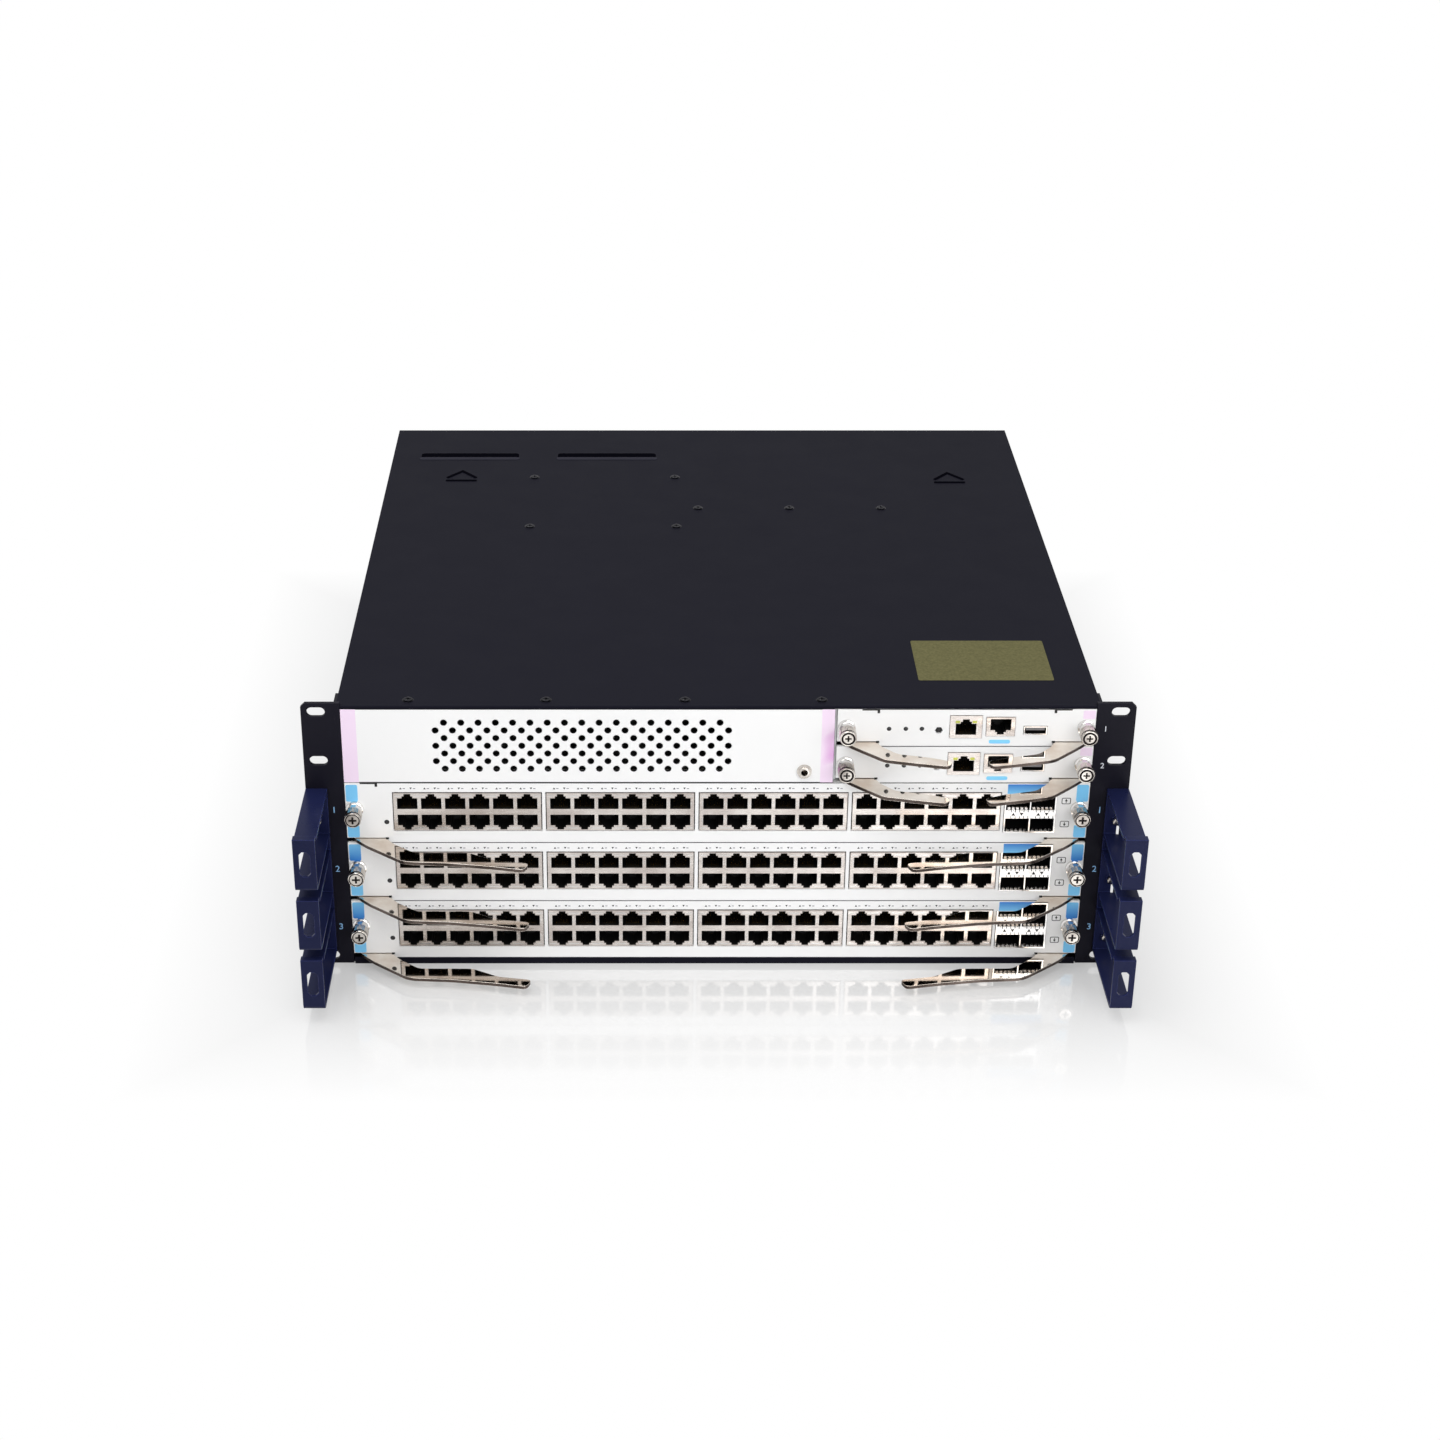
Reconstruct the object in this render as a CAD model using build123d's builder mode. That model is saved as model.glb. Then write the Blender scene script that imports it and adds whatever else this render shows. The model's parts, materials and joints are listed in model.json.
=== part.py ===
"""A rack chassis for a network switch, with five plug-in modules at the front.

The frame has +X to the right as seen from the front, +Y to the rear and +Z up. Its origin is
the centre of the underside of the chassis, so the front plane lies at half the depth to -Y.
Depths named "near" and "far" are counted backwards from the front plane.
"""
import os
from math import cos, pi, radians, sin

from build123d import *

os.makedirs("parts", exist_ok=True)

# Chassis. Its width and height follow from what the modules carry, further down
chassis_depth = 448.0
tub_sheet = 1.5
cover_sheet = 1.2
cover_gap = 0.8
top_flange_width = 12.0
top_flange_near = 14.0
floor_lip_height = 4.4

# Rack ears and cable brackets
ear_reach = 20.3
rack_slot_inset = 8.75
rack_slot_length = 10.7
rack_slot_width = 6.0
lowest_slot_rise = 5.46
highest_slot_drop = 5.74
rack_slot_spacing = 31.75
ear_sheet = 2.5
ear_bottom = 0.5
ear_rise = 1.8
ear_corner = 5.0
ear_flange_depth = 20.0
bracket_width = 12.8
bracket_sheet = 2.0
bracket_bottom = 9.6
loop_count = 3
loop_pitch = 40.0
loop_height = 34.0
loop_reach = 66.5
loop_arm_reach = 58.0
loop_lip = 5.0
loop_bend = 3.0
bend_presses = 2
loop_slot_length = 16.0
loop_slot_width = 6.5

# Bays
side_gap = 2.6
slot_gap = 0.2
card_count = 3
card_bottom = 4.6
card_board_rise = 8.0
card_head_room = 6.5
card_screw_rise = 22.7
supervisor_count = 2
supervisor_width = 149.4
supervisor_height = 23.9
bay_step = 0.3
backplane_depth = 300.0
backplane_thickness = 3.0
shelf_sheet = 1.2
shelf_drop = 1.4

# Modules
face_sheet = 2.0
notch_length = 24.0
notch_height = 3.0
flange_inset = 28.0
flange_depth = 10.0
flange_sheet = 1.2
board_thickness = 1.8
board_inset = 14.0
board_neck_inset = 25.0
board_neck_depth = 22.0
board_rear_gap = 12.0
board_end = backplane_depth - board_rear_gap
connector_gap = 0.3

# Ejector levers and captive screws
pivot_inset = 10.4
pivot_depth = 6.5
pivot_radius = 2.0
pivot_clearance = 0.08
lever_thickness = 2.2
lever_rise = 0.45
root_radius = 9.6
tab_rise = 3.1
tab_thickness = 1.6
screw_inset = 5.4
screw_head_radius = 5.2
screw_head_length = 8.0
screw_head_sides = 8
screw_reach = 15.0
screw_shank_radius = 1.5
screw_tail = 9.0
shank_clearance = 0.25
hole_sides = 6
pin_sides = 8

# Sockets
port_columns = 6
port_width = 11.6
port_wall = 2.5
port_height = 7.2
port_notch_width = 5.8
port_notch_height = 2.1
port_bar = 3.8
port_depth = 13.0
block_side = 1.4
block_rim = 1.5
block_depth = 19.0
block_gap = 2.6
block_margin = 27.9
block_count = 4
window_gap = 0.25
cage_gap = 2.25
cage_margin = 18.95
cage_drop = 1.1
cage_depth = 48.0
cage_socket_width = 14.0
cage_socket_height = 8.8
cage_wall = 0.8
cage_post = 0.7
cage_strip = 5.6
cage_proud = 0.8

# Front vent panel
panel_sheet = 1.5
vent_radius = 2.1
vent_sides = 4
vent_pitch = 10.0
vent_row_pitch = 5.03
vent_rows = 7
vent_columns = 17
vent_margin = 59.5
vent_drop = 8.7
jack_inset = 16.8
jack_rise = 7.4
jack_radius = 4.25
jack_bore = 2.05
jack_sides = 8
jack_proud = 2.2
jack_length = 14.0

# Rear
supply_length = 232.0
supply_gap = 0.8
first_supply_width = 100.5
supply_spacing = 98.0
fan_count = 3
fan_depth = 38.0
fan_rim = 4.0
fan_side_room = 7.0
rotor_clearance = 3.0
rotor_hub = 19.0
rotor_hub_sides = 8
rotor_blades = 7
handle_reach = 22.0
handle_taper = 4.0
handle_width = 10.0

# Widths, from the sockets outwards
port_pitch = port_width + port_wall
block_width = port_columns * port_pitch + 2 * block_side
block_pitch = block_width + block_gap
cage_width = 2 * (cage_socket_width + cage_wall) + cage_post
opening_half = (block_margin + block_count * block_pitch - block_gap + cage_gap + cage_width
                + cage_margin) / 2
half_width = opening_half + side_gap
inner_half = half_width - tub_sheet
chassis_width = 2 * half_width
rack_width = chassis_width + 2 * ear_reach
block_first = block_margin - opening_half + block_width / 2
cage_centre = (block_first + (block_count - 1) * block_pitch + block_width / 2 + cage_gap
               + cage_width / 2)
supervisor_left = opening_half - supervisor_width
divider_x = supervisor_left - 0.7
supply_wall_x = (first_supply_width - inner_half,
                 first_supply_width - inner_half + supply_spacing)

# Heights, from the lowest slot upwards
block_height = 2 * (port_height + port_notch_height + block_rim) + port_bar
cage_height = 2 * (cage_socket_height + cage_wall) + cage_strip
cage_bottom = card_board_rise - cage_drop
card_height = card_board_rise + block_height + card_head_room
card_pitch = card_height + slot_gap
supervisor_pitch = supervisor_height + slot_gap
card_area_top = card_bottom + (card_count - 1) * card_pitch + card_height
top_bay_bottom = card_area_top + bay_step
panel_top = top_bay_bottom + (supervisor_count - 1) * supervisor_pitch + supervisor_height
cover_underside = panel_top + cover_gap
chassis_height = cover_underside + cover_sheet
ear_top = chassis_height + ear_rise
rack_slot_heights = (ear_bottom + lowest_slot_rise,
                     ear_top - highest_slot_drop - rack_slot_spacing,
                     ear_top - highest_slot_drop)
shelf_top = card_area_top - shelf_drop
shelf_bottom = shelf_top - shelf_sheet
front = -chassis_depth / 2


def behind(depth):
    """The Y of a plane that lies so far behind the front plane."""
    return front + depth


def facing_front(depth):
    """A sketch plane seen from the front, so far behind the front plane."""
    return Plane.XZ.offset(-behind(depth))


def block(x, y, z, mode=Mode.ADD):
    """Add or cut the box between three pairs of limits."""
    with Locations(((x[0] + x[1]) / 2, (y[0] + y[1]) / 2, (z[0] + z[1]) / 2)):
        Box(x[1] - x[0], y[1] - y[0], z[1] - z[0], mode=mode)


def rod(x, z, radius, near, far, mode=Mode.ADD):
    """Add or cut a round bar that runs from the front to the rear."""
    with Locations((x, behind((near + far) / 2), z)):
        Cylinder(radius, far - near, rotation=(90, 0, 0), mode=mode)


def prism(x, z, radius, sides, near, far, mode=Mode.ADD):
    """Add or cut a bar of a regular section that runs from the front to the rear."""
    with BuildSketch(facing_front(far)) as section:
        with Locations((x, z)):
            RegularPolygon(radius, sides, rotation=180 / sides)
    extrude(section.sketch, amount=far - near, mode=mode)


def post(x, y, radius, low, high):
    """Add an upright pin of small section."""
    with BuildSketch(Plane.XY.offset(low)) as section:
        with Locations((x, y)):
            RegularPolygon(radius, pin_sides)
    extrude(section.sketch, amount=high - low)


def around(radius, sides):
    """The corner radius of a regular hole that a round bar of the given radius fills."""
    return radius / cos(pi / sides)


def slot_outline(width, height):
    """A slot as a rectangle with its corners cut off."""
    with BuildSketch(mode=Mode.PRIVATE) as slot:
        Rectangle(width, height)
        chamfer(slot.vertices(), length=min(width, height) * 0.3)
    add(slot.sketch)


def save(piece, name):
    """Label a finished piece and write it out."""
    piece.part.label = name
    export_step(piece.part, f"parts/{name}.step")


def line_card_bottom(index):
    """The lower edge of a line card, counted from the top slot down."""
    return card_bottom + (card_count - 1 - index) * card_pitch


def supervisor_bottom(index):
    """The lower edge of a supervisor module, counted from the top slot down."""
    return top_bay_bottom + (supervisor_count - 1 - index) * supervisor_pitch


# Supervisor sockets: distances from the module's right edge, and from its middle in height
lan_span = (84.2, 65.7)
lan_height = 14.4
lan_lift = 0.55
console_span = (63.1, 46.6)
console_height = 12.1
console_lift = 0.7
bus_span = (41.3, 27.9)
bus_height = 5.2
bus_lift = -1.75
button_gap = 6.3
button_lift = -1.75
button_radius = 1.7
supervisor_screw_lift = 0.25
socket_seat = 0.1


def socket_limits(span, height, lift):
    """The sides of a supervisor's socket, and its foot and head above the module's edge."""
    middle = supervisor_height / 2 + lift
    return (opening_half - span[0], opening_half - span[1], middle - height / 2,
            middle + height / 2)


lan_limits = socket_limits(lan_span, lan_height, lan_lift)
console_limits = socket_limits(console_span, console_height, console_lift)
bus_limits = socket_limits(bus_span, bus_height, bus_lift)

card_header_offset = 110.0
line_cards = [
    {"left": -opening_half, "right": opening_half, "bottom": line_card_bottom(i),
     "height": card_height, "screw": card_screw_rise, "board_top": card_board_rise,
     "headers": (-card_header_offset, card_header_offset)}
    for i in range(card_count)
]
supervisors = [
    {"left": supervisor_left, "right": opening_half, "bottom": supervisor_bottom(i),
     "height": supervisor_height, "screw": supervisor_height / 2 + supervisor_screw_lift,
     "board_top": lan_limits[2] - socket_seat,
     "headers": ((supervisor_left + opening_half) / 2,)}
    for i in range(supervisor_count)
]
modules = line_cards + supervisors


def module_sides(module):
    """Both ends of a module, each with the direction that points to its middle."""
    return ((module["left"], 1), (module["right"], -1))


# Tub: floor and two sides folded from one sheet, with a lip along the front of the floor
card_vent_columns = 3
card_vent_pitch = 76.0
card_vent_length = 64.0
card_vent_height = 8.0
card_vent_middle = 165.0
screw_tab_near = 3.2
screw_tab_inset = 11.0
screw_tab_height = 13.0

with BuildPart() as chassis_tub:
    with BuildSketch(facing_front(chassis_depth)):
        with BuildLine():
            Polyline(
                (-half_width, cover_underside), (-half_width, 0), (half_width, 0),
                (half_width, cover_underside),
                (half_width - top_flange_width, cover_underside),
                (half_width - top_flange_width, cover_underside - tub_sheet),
                (inner_half, cover_underside - tub_sheet), (inner_half, tub_sheet),
                (-inner_half, tub_sheet), (-inner_half, cover_underside - tub_sheet),
                (top_flange_width - half_width, cover_underside - tub_sheet),
                (top_flange_width - half_width, cover_underside),
                close=True,
            )
        make_face()
    extrude(amount=chassis_depth - ear_sheet)
    block((-opening_half + 0.2, opening_half - 0.2), (behind(0), behind(ear_sheet)),
          (0, tub_sheet))
    block((-opening_half + 0.2, opening_half - 0.2), (behind(0), behind(tub_sheet)),
          (0, floor_lip_height))
    block((-inner_half, inner_half), (behind(0), behind(top_flange_near)),
          (cover_underside - tub_sheet - 1, cover_underside), Mode.SUBTRACT)
    for card in line_cards:
        row_height = card["bottom"] + card_height / 2
        with BuildSketch(Plane.YZ.offset(-half_width)):
            with Locations((behind(card_vent_middle), row_height)):
                with GridLocations(card_vent_pitch, 1, card_vent_columns, 1):
                    Rectangle(card_vent_length, card_vent_height)
        extrude(amount=chassis_width, mode=Mode.SUBTRACT)
    for module in modules:
        screw_height = module["bottom"] + module["screw"]
        for edge, inward in module_sides(module):
            if abs(edge) < opening_half:
                continue
            wall = -inward * inner_half
            inner = edge + inward * screw_tab_inset
            tab_half = screw_tab_height / 2
            block(sorted((wall, inner)),
                  (behind(screw_tab_near), behind(screw_tab_near + tub_sheet)),
                  (screw_height - tab_half, screw_height + tab_half))
            prism(edge + inward * screw_inset, screw_height,
                  around(screw_shank_radius + shank_clearance, hole_sides), hole_sides,
                  screw_tab_near - 1, screw_tab_near + tub_sheet + 1, Mode.SUBTRACT)
save(chassis_tub, "chassis_tub")

# Cover, with its two pressed beads and the heads of its screws
bead_insets = ((82.0, 12.6), (82.9, 13.1))
bead_spans = [(wall - start, wall - end)
              for wall, (start, end) in zip(supply_wall_x, bead_insets)]
bead_from_rear = 53.0
bead_width = 6.0
bead_sink = 0.6
front_screw_x = (-179.7, -99.7, -19.2, 60.1)
front_screw_depth = 8.0
supply_screw_depths = (267.0, 355.5)
backplane_screw_x = (-6.0, 56.0, 118.2)
backplane_screw_depth = backplane_depth - 1.0
cover_screws_at = (
    [(x, behind(front_screw_depth)) for x in front_screw_x]
    + [(x, behind(depth)) for x in supply_wall_x for depth in supply_screw_depths]
    + [(x, behind(backplane_screw_depth)) for x in backplane_screw_x]
)
cover_screw_head = 2.9
cover_screw_rise = 0.7

with BuildPart() as top_cover:
    with BuildSketch(Plane.XY.offset(cover_underside)):
        Rectangle(chassis_width, chassis_depth)
        with Locations(*[(x, behind(ear_sheet / 2)) for x in (-half_width, half_width)]):
            Rectangle(2 * side_gap - 0.4, ear_sheet, mode=Mode.SUBTRACT)
    extrude(amount=cover_sheet)
    with BuildSketch(Plane.XY.offset(chassis_height - bead_sink)):
        for bead_from, bead_to in bead_spans:
            with Locations(((bead_from + bead_to) / 2, behind(chassis_depth - bead_from_rear))):
                slot_outline(bead_to - bead_from, bead_width)
    extrude(amount=bead_sink, mode=Mode.SUBTRACT)
    block((-opening_half + 0.2, opening_half - 0.2), (behind(0), behind(cover_sheet)),
          (panel_top + 0.2, cover_underside))
save(top_cover, "top_cover")

with BuildPart() as cover_screws:
    with BuildSketch(Plane.XY.offset(chassis_height)):
        with Locations(*cover_screws_at):
            RegularPolygon(cover_screw_head, 6)
    extrude(amount=cover_screw_rise)
save(cover_screws, "cover_screws")

# Dividers: the shelf over the line cards, the supervisor wall and the two supply walls
supply_bay_near = chassis_depth - supply_length - 14
divider_flange = 8.0
rear_sheet = 1.5
rear_near = chassis_depth - rear_sheet

with BuildPart() as bay_dividers:
    shelf_near = board_neck_depth - 2
    block((-inner_half, supply_wall_x[1] + shelf_sheet / 2),
          (behind(shelf_near), behind(rear_near)), (shelf_bottom, shelf_top))
    block((supply_wall_x[1], inner_half),
          (behind(shelf_near), behind(backplane_depth - 0.3)), (shelf_bottom, shelf_top))
    walls = [(x, supply_bay_near, rear_near) for x in supply_wall_x]
    walls.append((divider_x, ear_sheet, backplane_depth - 0.3))
    for x, near, far in walls:
        block((x - shelf_sheet / 2, x + shelf_sheet / 2), (behind(near), behind(far)),
              (shelf_top if near > ear_sheet else top_bay_bottom + 0.2, cover_underside))
        block((x - divider_flange, x + divider_flange), (behind(max(near, 16)), behind(far)),
              (cover_underside - shelf_sheet, cover_underside))
    block((divider_x - shelf_sheet / 2, divider_x + shelf_sheet / 2),
          (behind(shelf_near), behind(backplane_depth - 0.3)), (shelf_top, top_bay_bottom + 1))
    tie_near = backplane_depth + backplane_thickness
    tie_half = 5.0
    block((supply_wall_x[1], inner_half - top_flange_width),
          (behind(backplane_screw_depth - tie_half), behind(tie_near + shelf_sheet)),
          (cover_underside - shelf_sheet, cover_underside))
    block((supply_wall_x[1], inner_half - top_flange_width),
          (behind(tie_near), behind(tie_near + shelf_sheet)),
          (cover_underside - 12, cover_underside))
    for supervisor in supervisors:
        screw_height = supervisor["bottom"] + supervisor["screw"]
        tab_half = screw_tab_height / 2
        block((divider_x, supervisor_left + screw_tab_inset),
              (behind(screw_tab_near), behind(screw_tab_near + tub_sheet)),
              (screw_height - tab_half, screw_height + tab_half))
        prism(supervisor_left + screw_inset, screw_height,
              around(screw_shank_radius + shank_clearance, hole_sides), hole_sides,
              screw_tab_near - 1, screw_tab_near + tub_sheet + 1, Mode.SUBTRACT)
save(bay_dividers, "bay_dividers")

# Board guides: a grooved rail along each edge of each module's board
groove_clearance = 0.3
groove_depth = 3.0
guide_height = 5.0

with BuildPart() as board_guides:
    for module in modules:
        board_top = module["bottom"] + module["board_top"]
        board_middle = board_top - board_thickness / 2
        for edge, inward in module_sides(module):
            if abs(edge) < opening_half:
                wall = divider_x + shelf_sheet / 2
            else:
                wall = -inward * inner_half
            lip = edge + inward * (board_inset + groove_depth)
            block(sorted((wall, lip)), (behind(board_neck_depth + 1), behind(board_end)),
                  (board_middle - guide_height / 2, board_middle + guide_height / 2))
            groove = edge + inward * (board_inset - groove_clearance)
            block(sorted((groove, lip)), (behind(board_neck_depth), behind(board_end + 1)),
                  (board_top - board_thickness - groove_clearance, board_top + groove_clearance),
                  Mode.SUBTRACT)
save(board_guides, "board_guides")

# Backplane: one board across the chassis, with a header for each module
header_height = 13.0
header_depth = 9.0
header_width = 84.0

with BuildPart() as backplane:
    with BuildSketch(facing_front(backplane_depth + backplane_thickness)):
        with BuildLine():
            Polyline(
                (0.3 - inner_half, tub_sheet), (inner_half - 0.3, tub_sheet),
                (inner_half - 0.3, cover_underside - tub_sheet - 0.3),
                (supply_wall_x[1] + 1.0, cover_underside - tub_sheet - 0.3),
                (supply_wall_x[1] + 1.0, shelf_bottom - 0.3),
                (0.3 - inner_half, shelf_bottom - 0.3),
                close=True,
            )
        make_face()
    extrude(amount=backplane_thickness)
    for module in modules:
        low = module["bottom"] + module["board_top"]
        for centre in module["headers"]:
            block((centre - header_width / 2, centre + header_width / 2),
                  (behind(backplane_depth - header_depth), behind(backplane_depth)),
                  (low, low + header_height))
save(backplane, "backplane")

# Front vent panel, with the staggered field of round vents and the folded edges
panel_left = -opening_half
panel_right = divider_x - shelf_sheet / 2 - 0.2
panel_fold = 12.0
vent_left = panel_left + vent_margin
vent_top = panel_top - vent_drop
jack_x = panel_right - jack_inset
jack_height = top_bay_bottom + jack_rise

with BuildPart() as vent_panel:
    with BuildSketch(facing_front(panel_sheet)):
        with Locations(((panel_left + panel_right) / 2, (top_bay_bottom + panel_top) / 2)):
            Rectangle(panel_right - panel_left, panel_top - top_bay_bottom)
        for row in range(vent_rows):
            shifted = row % 2
            columns = vent_columns + shifted
            start = vent_left - shifted * vent_pitch / 2
            height = vent_top - row * vent_row_pitch
            with Locations(*[(start + c * vent_pitch, height) for c in range(columns)]):
                RegularPolygon(vent_radius, vent_sides, mode=Mode.SUBTRACT)
        with Locations((jack_x, jack_height)):
            RegularPolygon(jack_radius - 1.0, jack_sides, rotation=180 / jack_sides,
                           mode=Mode.SUBTRACT)
    extrude(amount=panel_sheet)
    for low, high in ((top_bay_bottom, top_bay_bottom + flange_sheet),
                      (panel_top - flange_sheet, panel_top)):
        block((panel_left, panel_right), (behind(panel_sheet), behind(panel_fold)),
              (low, high))
    block((panel_left, panel_left + flange_sheet), (behind(panel_sheet), behind(panel_fold)),
          (top_bay_bottom, panel_top))
    block((panel_right - flange_sheet, panel_right),
          (behind(panel_sheet), behind(panel_fold)), (top_bay_bottom, panel_top))
save(vent_panel, "vent_panel")

with BuildPart() as wrist_strap_jack:
    prism(jack_x, jack_height, jack_radius, jack_sides, -jack_proud, 0)
    prism(jack_x, jack_height, jack_radius - 1.1, jack_sides, 0, jack_length)
    rod(jack_x, jack_height, jack_bore, -jack_proud, jack_length - 2, Mode.SUBTRACT)
save(wrist_strap_jack, "wrist_strap_jack")

# Rack ears: an angle with the rack slots, and a see-through slot beside each cable loop
ear_inner = opening_half + 0.3
sliver_width = 2.4
sliver_height = 12.0
sliver_x = rack_width / 2 - 4.3
loop_bottom = bracket_bottom + 0.4
sliver_drop = 5.0
lug_x = rack_width / 2 - 6.3
lug_rise = 11.0


def loop_base(index):
    """The underside of one cable loop, counted from the lowest."""
    return loop_bottom + index * loop_pitch


def cut_ear_slots(side):
    """The rack slots and the slots beside the cable loops, on one side."""
    slot_x = side * (rack_width / 2 - rack_slot_inset)
    with Locations(*[(slot_x, height) for height in rack_slot_heights]):
        SlotOverall(rack_slot_length, rack_slot_width, mode=Mode.SUBTRACT)
    slivers = [loop_base(i) - sliver_drop + sliver_height / 2 for i in range(1, loop_count)]
    with Locations(*[(side * sliver_x, height) for height in slivers]):
        Rectangle(sliver_width, sliver_height, mode=Mode.SUBTRACT)


def make_ear(side):
    """One rack ear: the plate beside the faceplates and its flange along the chassis."""
    with BuildPart() as ear:
        with BuildSketch(facing_front(ear_sheet)):
            with BuildLine():
                outer = side * rack_width / 2
                inner = side * ear_inner
                Polyline((inner, ear_bottom), (outer, ear_bottom), (outer, ear_top),
                         (inner, ear_top), close=True)
            make_face()
            corners = [v for v in vertices() if abs(v.X) > rack_width / 2 - 1]
            chamfer(corners, length=ear_corner / 2)
            cut_ear_slots(side)
        extrude(amount=ear_sheet)
        block(sorted((side * half_width, side * (half_width + ear_sheet - 0.5))),
              (behind(ear_sheet), behind(ear_flange_depth)),
              (floor_lip_height, cover_underside - 0.3))
    return ear


def bend_points(centre, radius):
    """The lower front bend of a loop, as a few straight presses."""
    return [(centre[0] - radius * sin(turn), centre[1] - radius * cos(turn))
            for turn in [step * pi / 2 / bend_presses for step in range(bend_presses + 1)]]


# Cable brackets: three open loops of flat strip on a plate against the ear
def make_bracket(side):
    """One cable bracket, with its loops bent from strip and slotted at the front."""
    strip_from = side * (rack_width / 2 - bracket_width)
    with BuildPart() as bracket:
        plate_top = loop_base(loop_count - 1) + loop_height - 3.0
        with BuildSketch(Plane.YZ.offset(strip_from)):
            with Locations((behind(-bracket_sheet / 2), (bracket_bottom + plate_top) / 2)):
                Rectangle(bracket_sheet, plate_top - bracket_bottom)
            for index in range(loop_count):
                low = loop_base(index)
                arm_top = low + loop_height - 3.0
                with Locations((behind(-loop_arm_reach / 2), arm_top - bracket_sheet / 2)):
                    Rectangle(loop_arm_reach, bracket_sheet)
                top = low + loop_height
                face_out = behind(-loop_reach)
                face_in = face_out + bracket_sheet
                centre = (face_out + loop_bend, low + loop_bend)
                outer_bend = bend_points(centre, loop_bend)
                inner_bend = bend_points(centre, loop_bend - bracket_sheet)
                Polygon((behind(0), low), *outer_bend, (face_out, top),
                        (face_out + loop_lip, top), (face_out + loop_lip, top - bracket_sheet),
                        (face_in, top - bracket_sheet), *reversed(inner_bend),
                        (behind(0), low + bracket_sheet), align=None)
        extrude(amount=side * bracket_width)
        slivers = [loop_base(i) - sliver_drop + sliver_height / 2
                   for i in range(1, loop_count)]
        with BuildSketch(facing_front(1)):
            with Locations(*[(side * sliver_x, height) for height in slivers]):
                Rectangle(sliver_width, sliver_height)
        extrude(amount=bracket_sheet + 2, mode=Mode.SUBTRACT)
        with BuildSketch(facing_front(-loop_reach + bracket_sheet + 1)):
            middle = side * (rack_width / 2 - bracket_width / 2)
            with Locations(*[(middle, loop_base(i) + loop_height / 2 + 1)
                             for i in range(loop_count)]):
                slot_outline(loop_slot_width, loop_slot_length)
        extrude(amount=bracket_sheet + 2, mode=Mode.SUBTRACT)
        for index in range(loop_count):
            prism(side * lug_x, loop_base(index) + lug_rise, 2.6, hole_sides,
                  -bracket_sheet - 1.8, -bracket_sheet)
    return bracket


for side, side_name in ((-1, "left"), (1, "right")):
    save(make_ear(side), f"rack_ear_{side_name}")
    save(make_bracket(side), f"cable_bracket_{side_name}")

# Rear panel, with the openings for the supplies and the fan tray
fan_tray_half = inner_half - 5.5
fan_tray_bottom = 7.0
fan_tray_top = shelf_bottom - 3.1
fan_bore = (fan_tray_top - fan_tray_bottom) / 2 - fan_rim
rotor_radius = fan_bore - rotor_clearance
fan_spacing = 2 * (fan_tray_half - fan_side_room) / fan_count
rear_vent_count = 6
supply_frame = 1.0

with BuildPart() as rear_panel:
    with BuildSketch(facing_front(chassis_depth)):
        with Locations((0, (tub_sheet + cover_underside - tub_sheet) / 2)):
            Rectangle(2 * inner_half, cover_underside - 2 * tub_sheet)
        supply_middle = (supply_wall_x[1] - inner_half) / 2
        supply_window = inner_half + supply_wall_x[1] - 2 * supply_frame
        with Locations((supply_middle, (shelf_top + cover_underside - 2) / 2)):
            Rectangle(supply_window, cover_underside - shelf_top - 2, mode=Mode.SUBTRACT)
        with Locations((0, (fan_tray_bottom + fan_tray_top) / 2)):
            Rectangle(2 * fan_tray_half, fan_tray_top - fan_tray_bottom, mode=Mode.SUBTRACT)
        with Locations((100, (shelf_top + cover_underside) / 2)):
            with GridLocations(28, 1, rear_vent_count, 1):
                Rectangle(7, 34, mode=Mode.SUBTRACT)
    extrude(amount=rear_sheet)
save(rear_panel, "rear_panel")


def add_handle(x, near, low, high, thickness):
    """A pull handle bent from flat bar that stands upright at the rear."""
    with BuildSketch(Plane.YZ.offset(x - handle_width / 2)) as bow:
        with BuildLine():
            Polyline((behind(near), low), (behind(near + handle_reach), low + handle_taper),
                     (behind(near + handle_reach), high - handle_taper), (behind(near), high),
                     (behind(near), high - thickness),
                     (behind(near + handle_reach - thickness), high - handle_taper - thickness),
                     (behind(near + handle_reach - thickness), low + handle_taper + thickness),
                     (behind(near), low + thickness), close=True)
        make_face()
    extrude(bow.sketch, amount=handle_width)


# Power supplies: a closed case with an inlet and a handle at the rear
supply_near = chassis_depth - supply_length
supply_bottom = shelf_top + supply_gap / 2
supply_height = 40.0

for index, (left, right) in enumerate(((-inner_half, supply_wall_x[0] - shelf_sheet / 2),
                                       (supply_wall_x[0] + shelf_sheet / 2,
                                        supply_wall_x[1] - shelf_sheet / 2))):
    case_left = left + supply_gap + (supply_frame if index == 0 else 0)
    case_right = right - supply_gap - (supply_frame if index == 1 else 0)
    with BuildPart() as power_supply:
        block((case_left, case_right), (behind(supply_near), behind(chassis_depth)),
              (supply_bottom, supply_bottom + supply_height))
        inlet = case_left + 24
        block((inlet - 12.2, inlet + 12.2), (behind(chassis_depth - 15), behind(chassis_depth + 1)),
              (supply_bottom + 10, supply_bottom + 27), Mode.SUBTRACT)
        block((case_left + 20, case_right - 20), (behind(supply_near - 6), behind(supply_near)),
              (supply_bottom + 8, supply_bottom + 16))
        add_handle(case_right - 16, chassis_depth, supply_bottom + 4, supply_bottom + 36, 3)
    save(power_supply, f"power_supply_{index + 1}")

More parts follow.
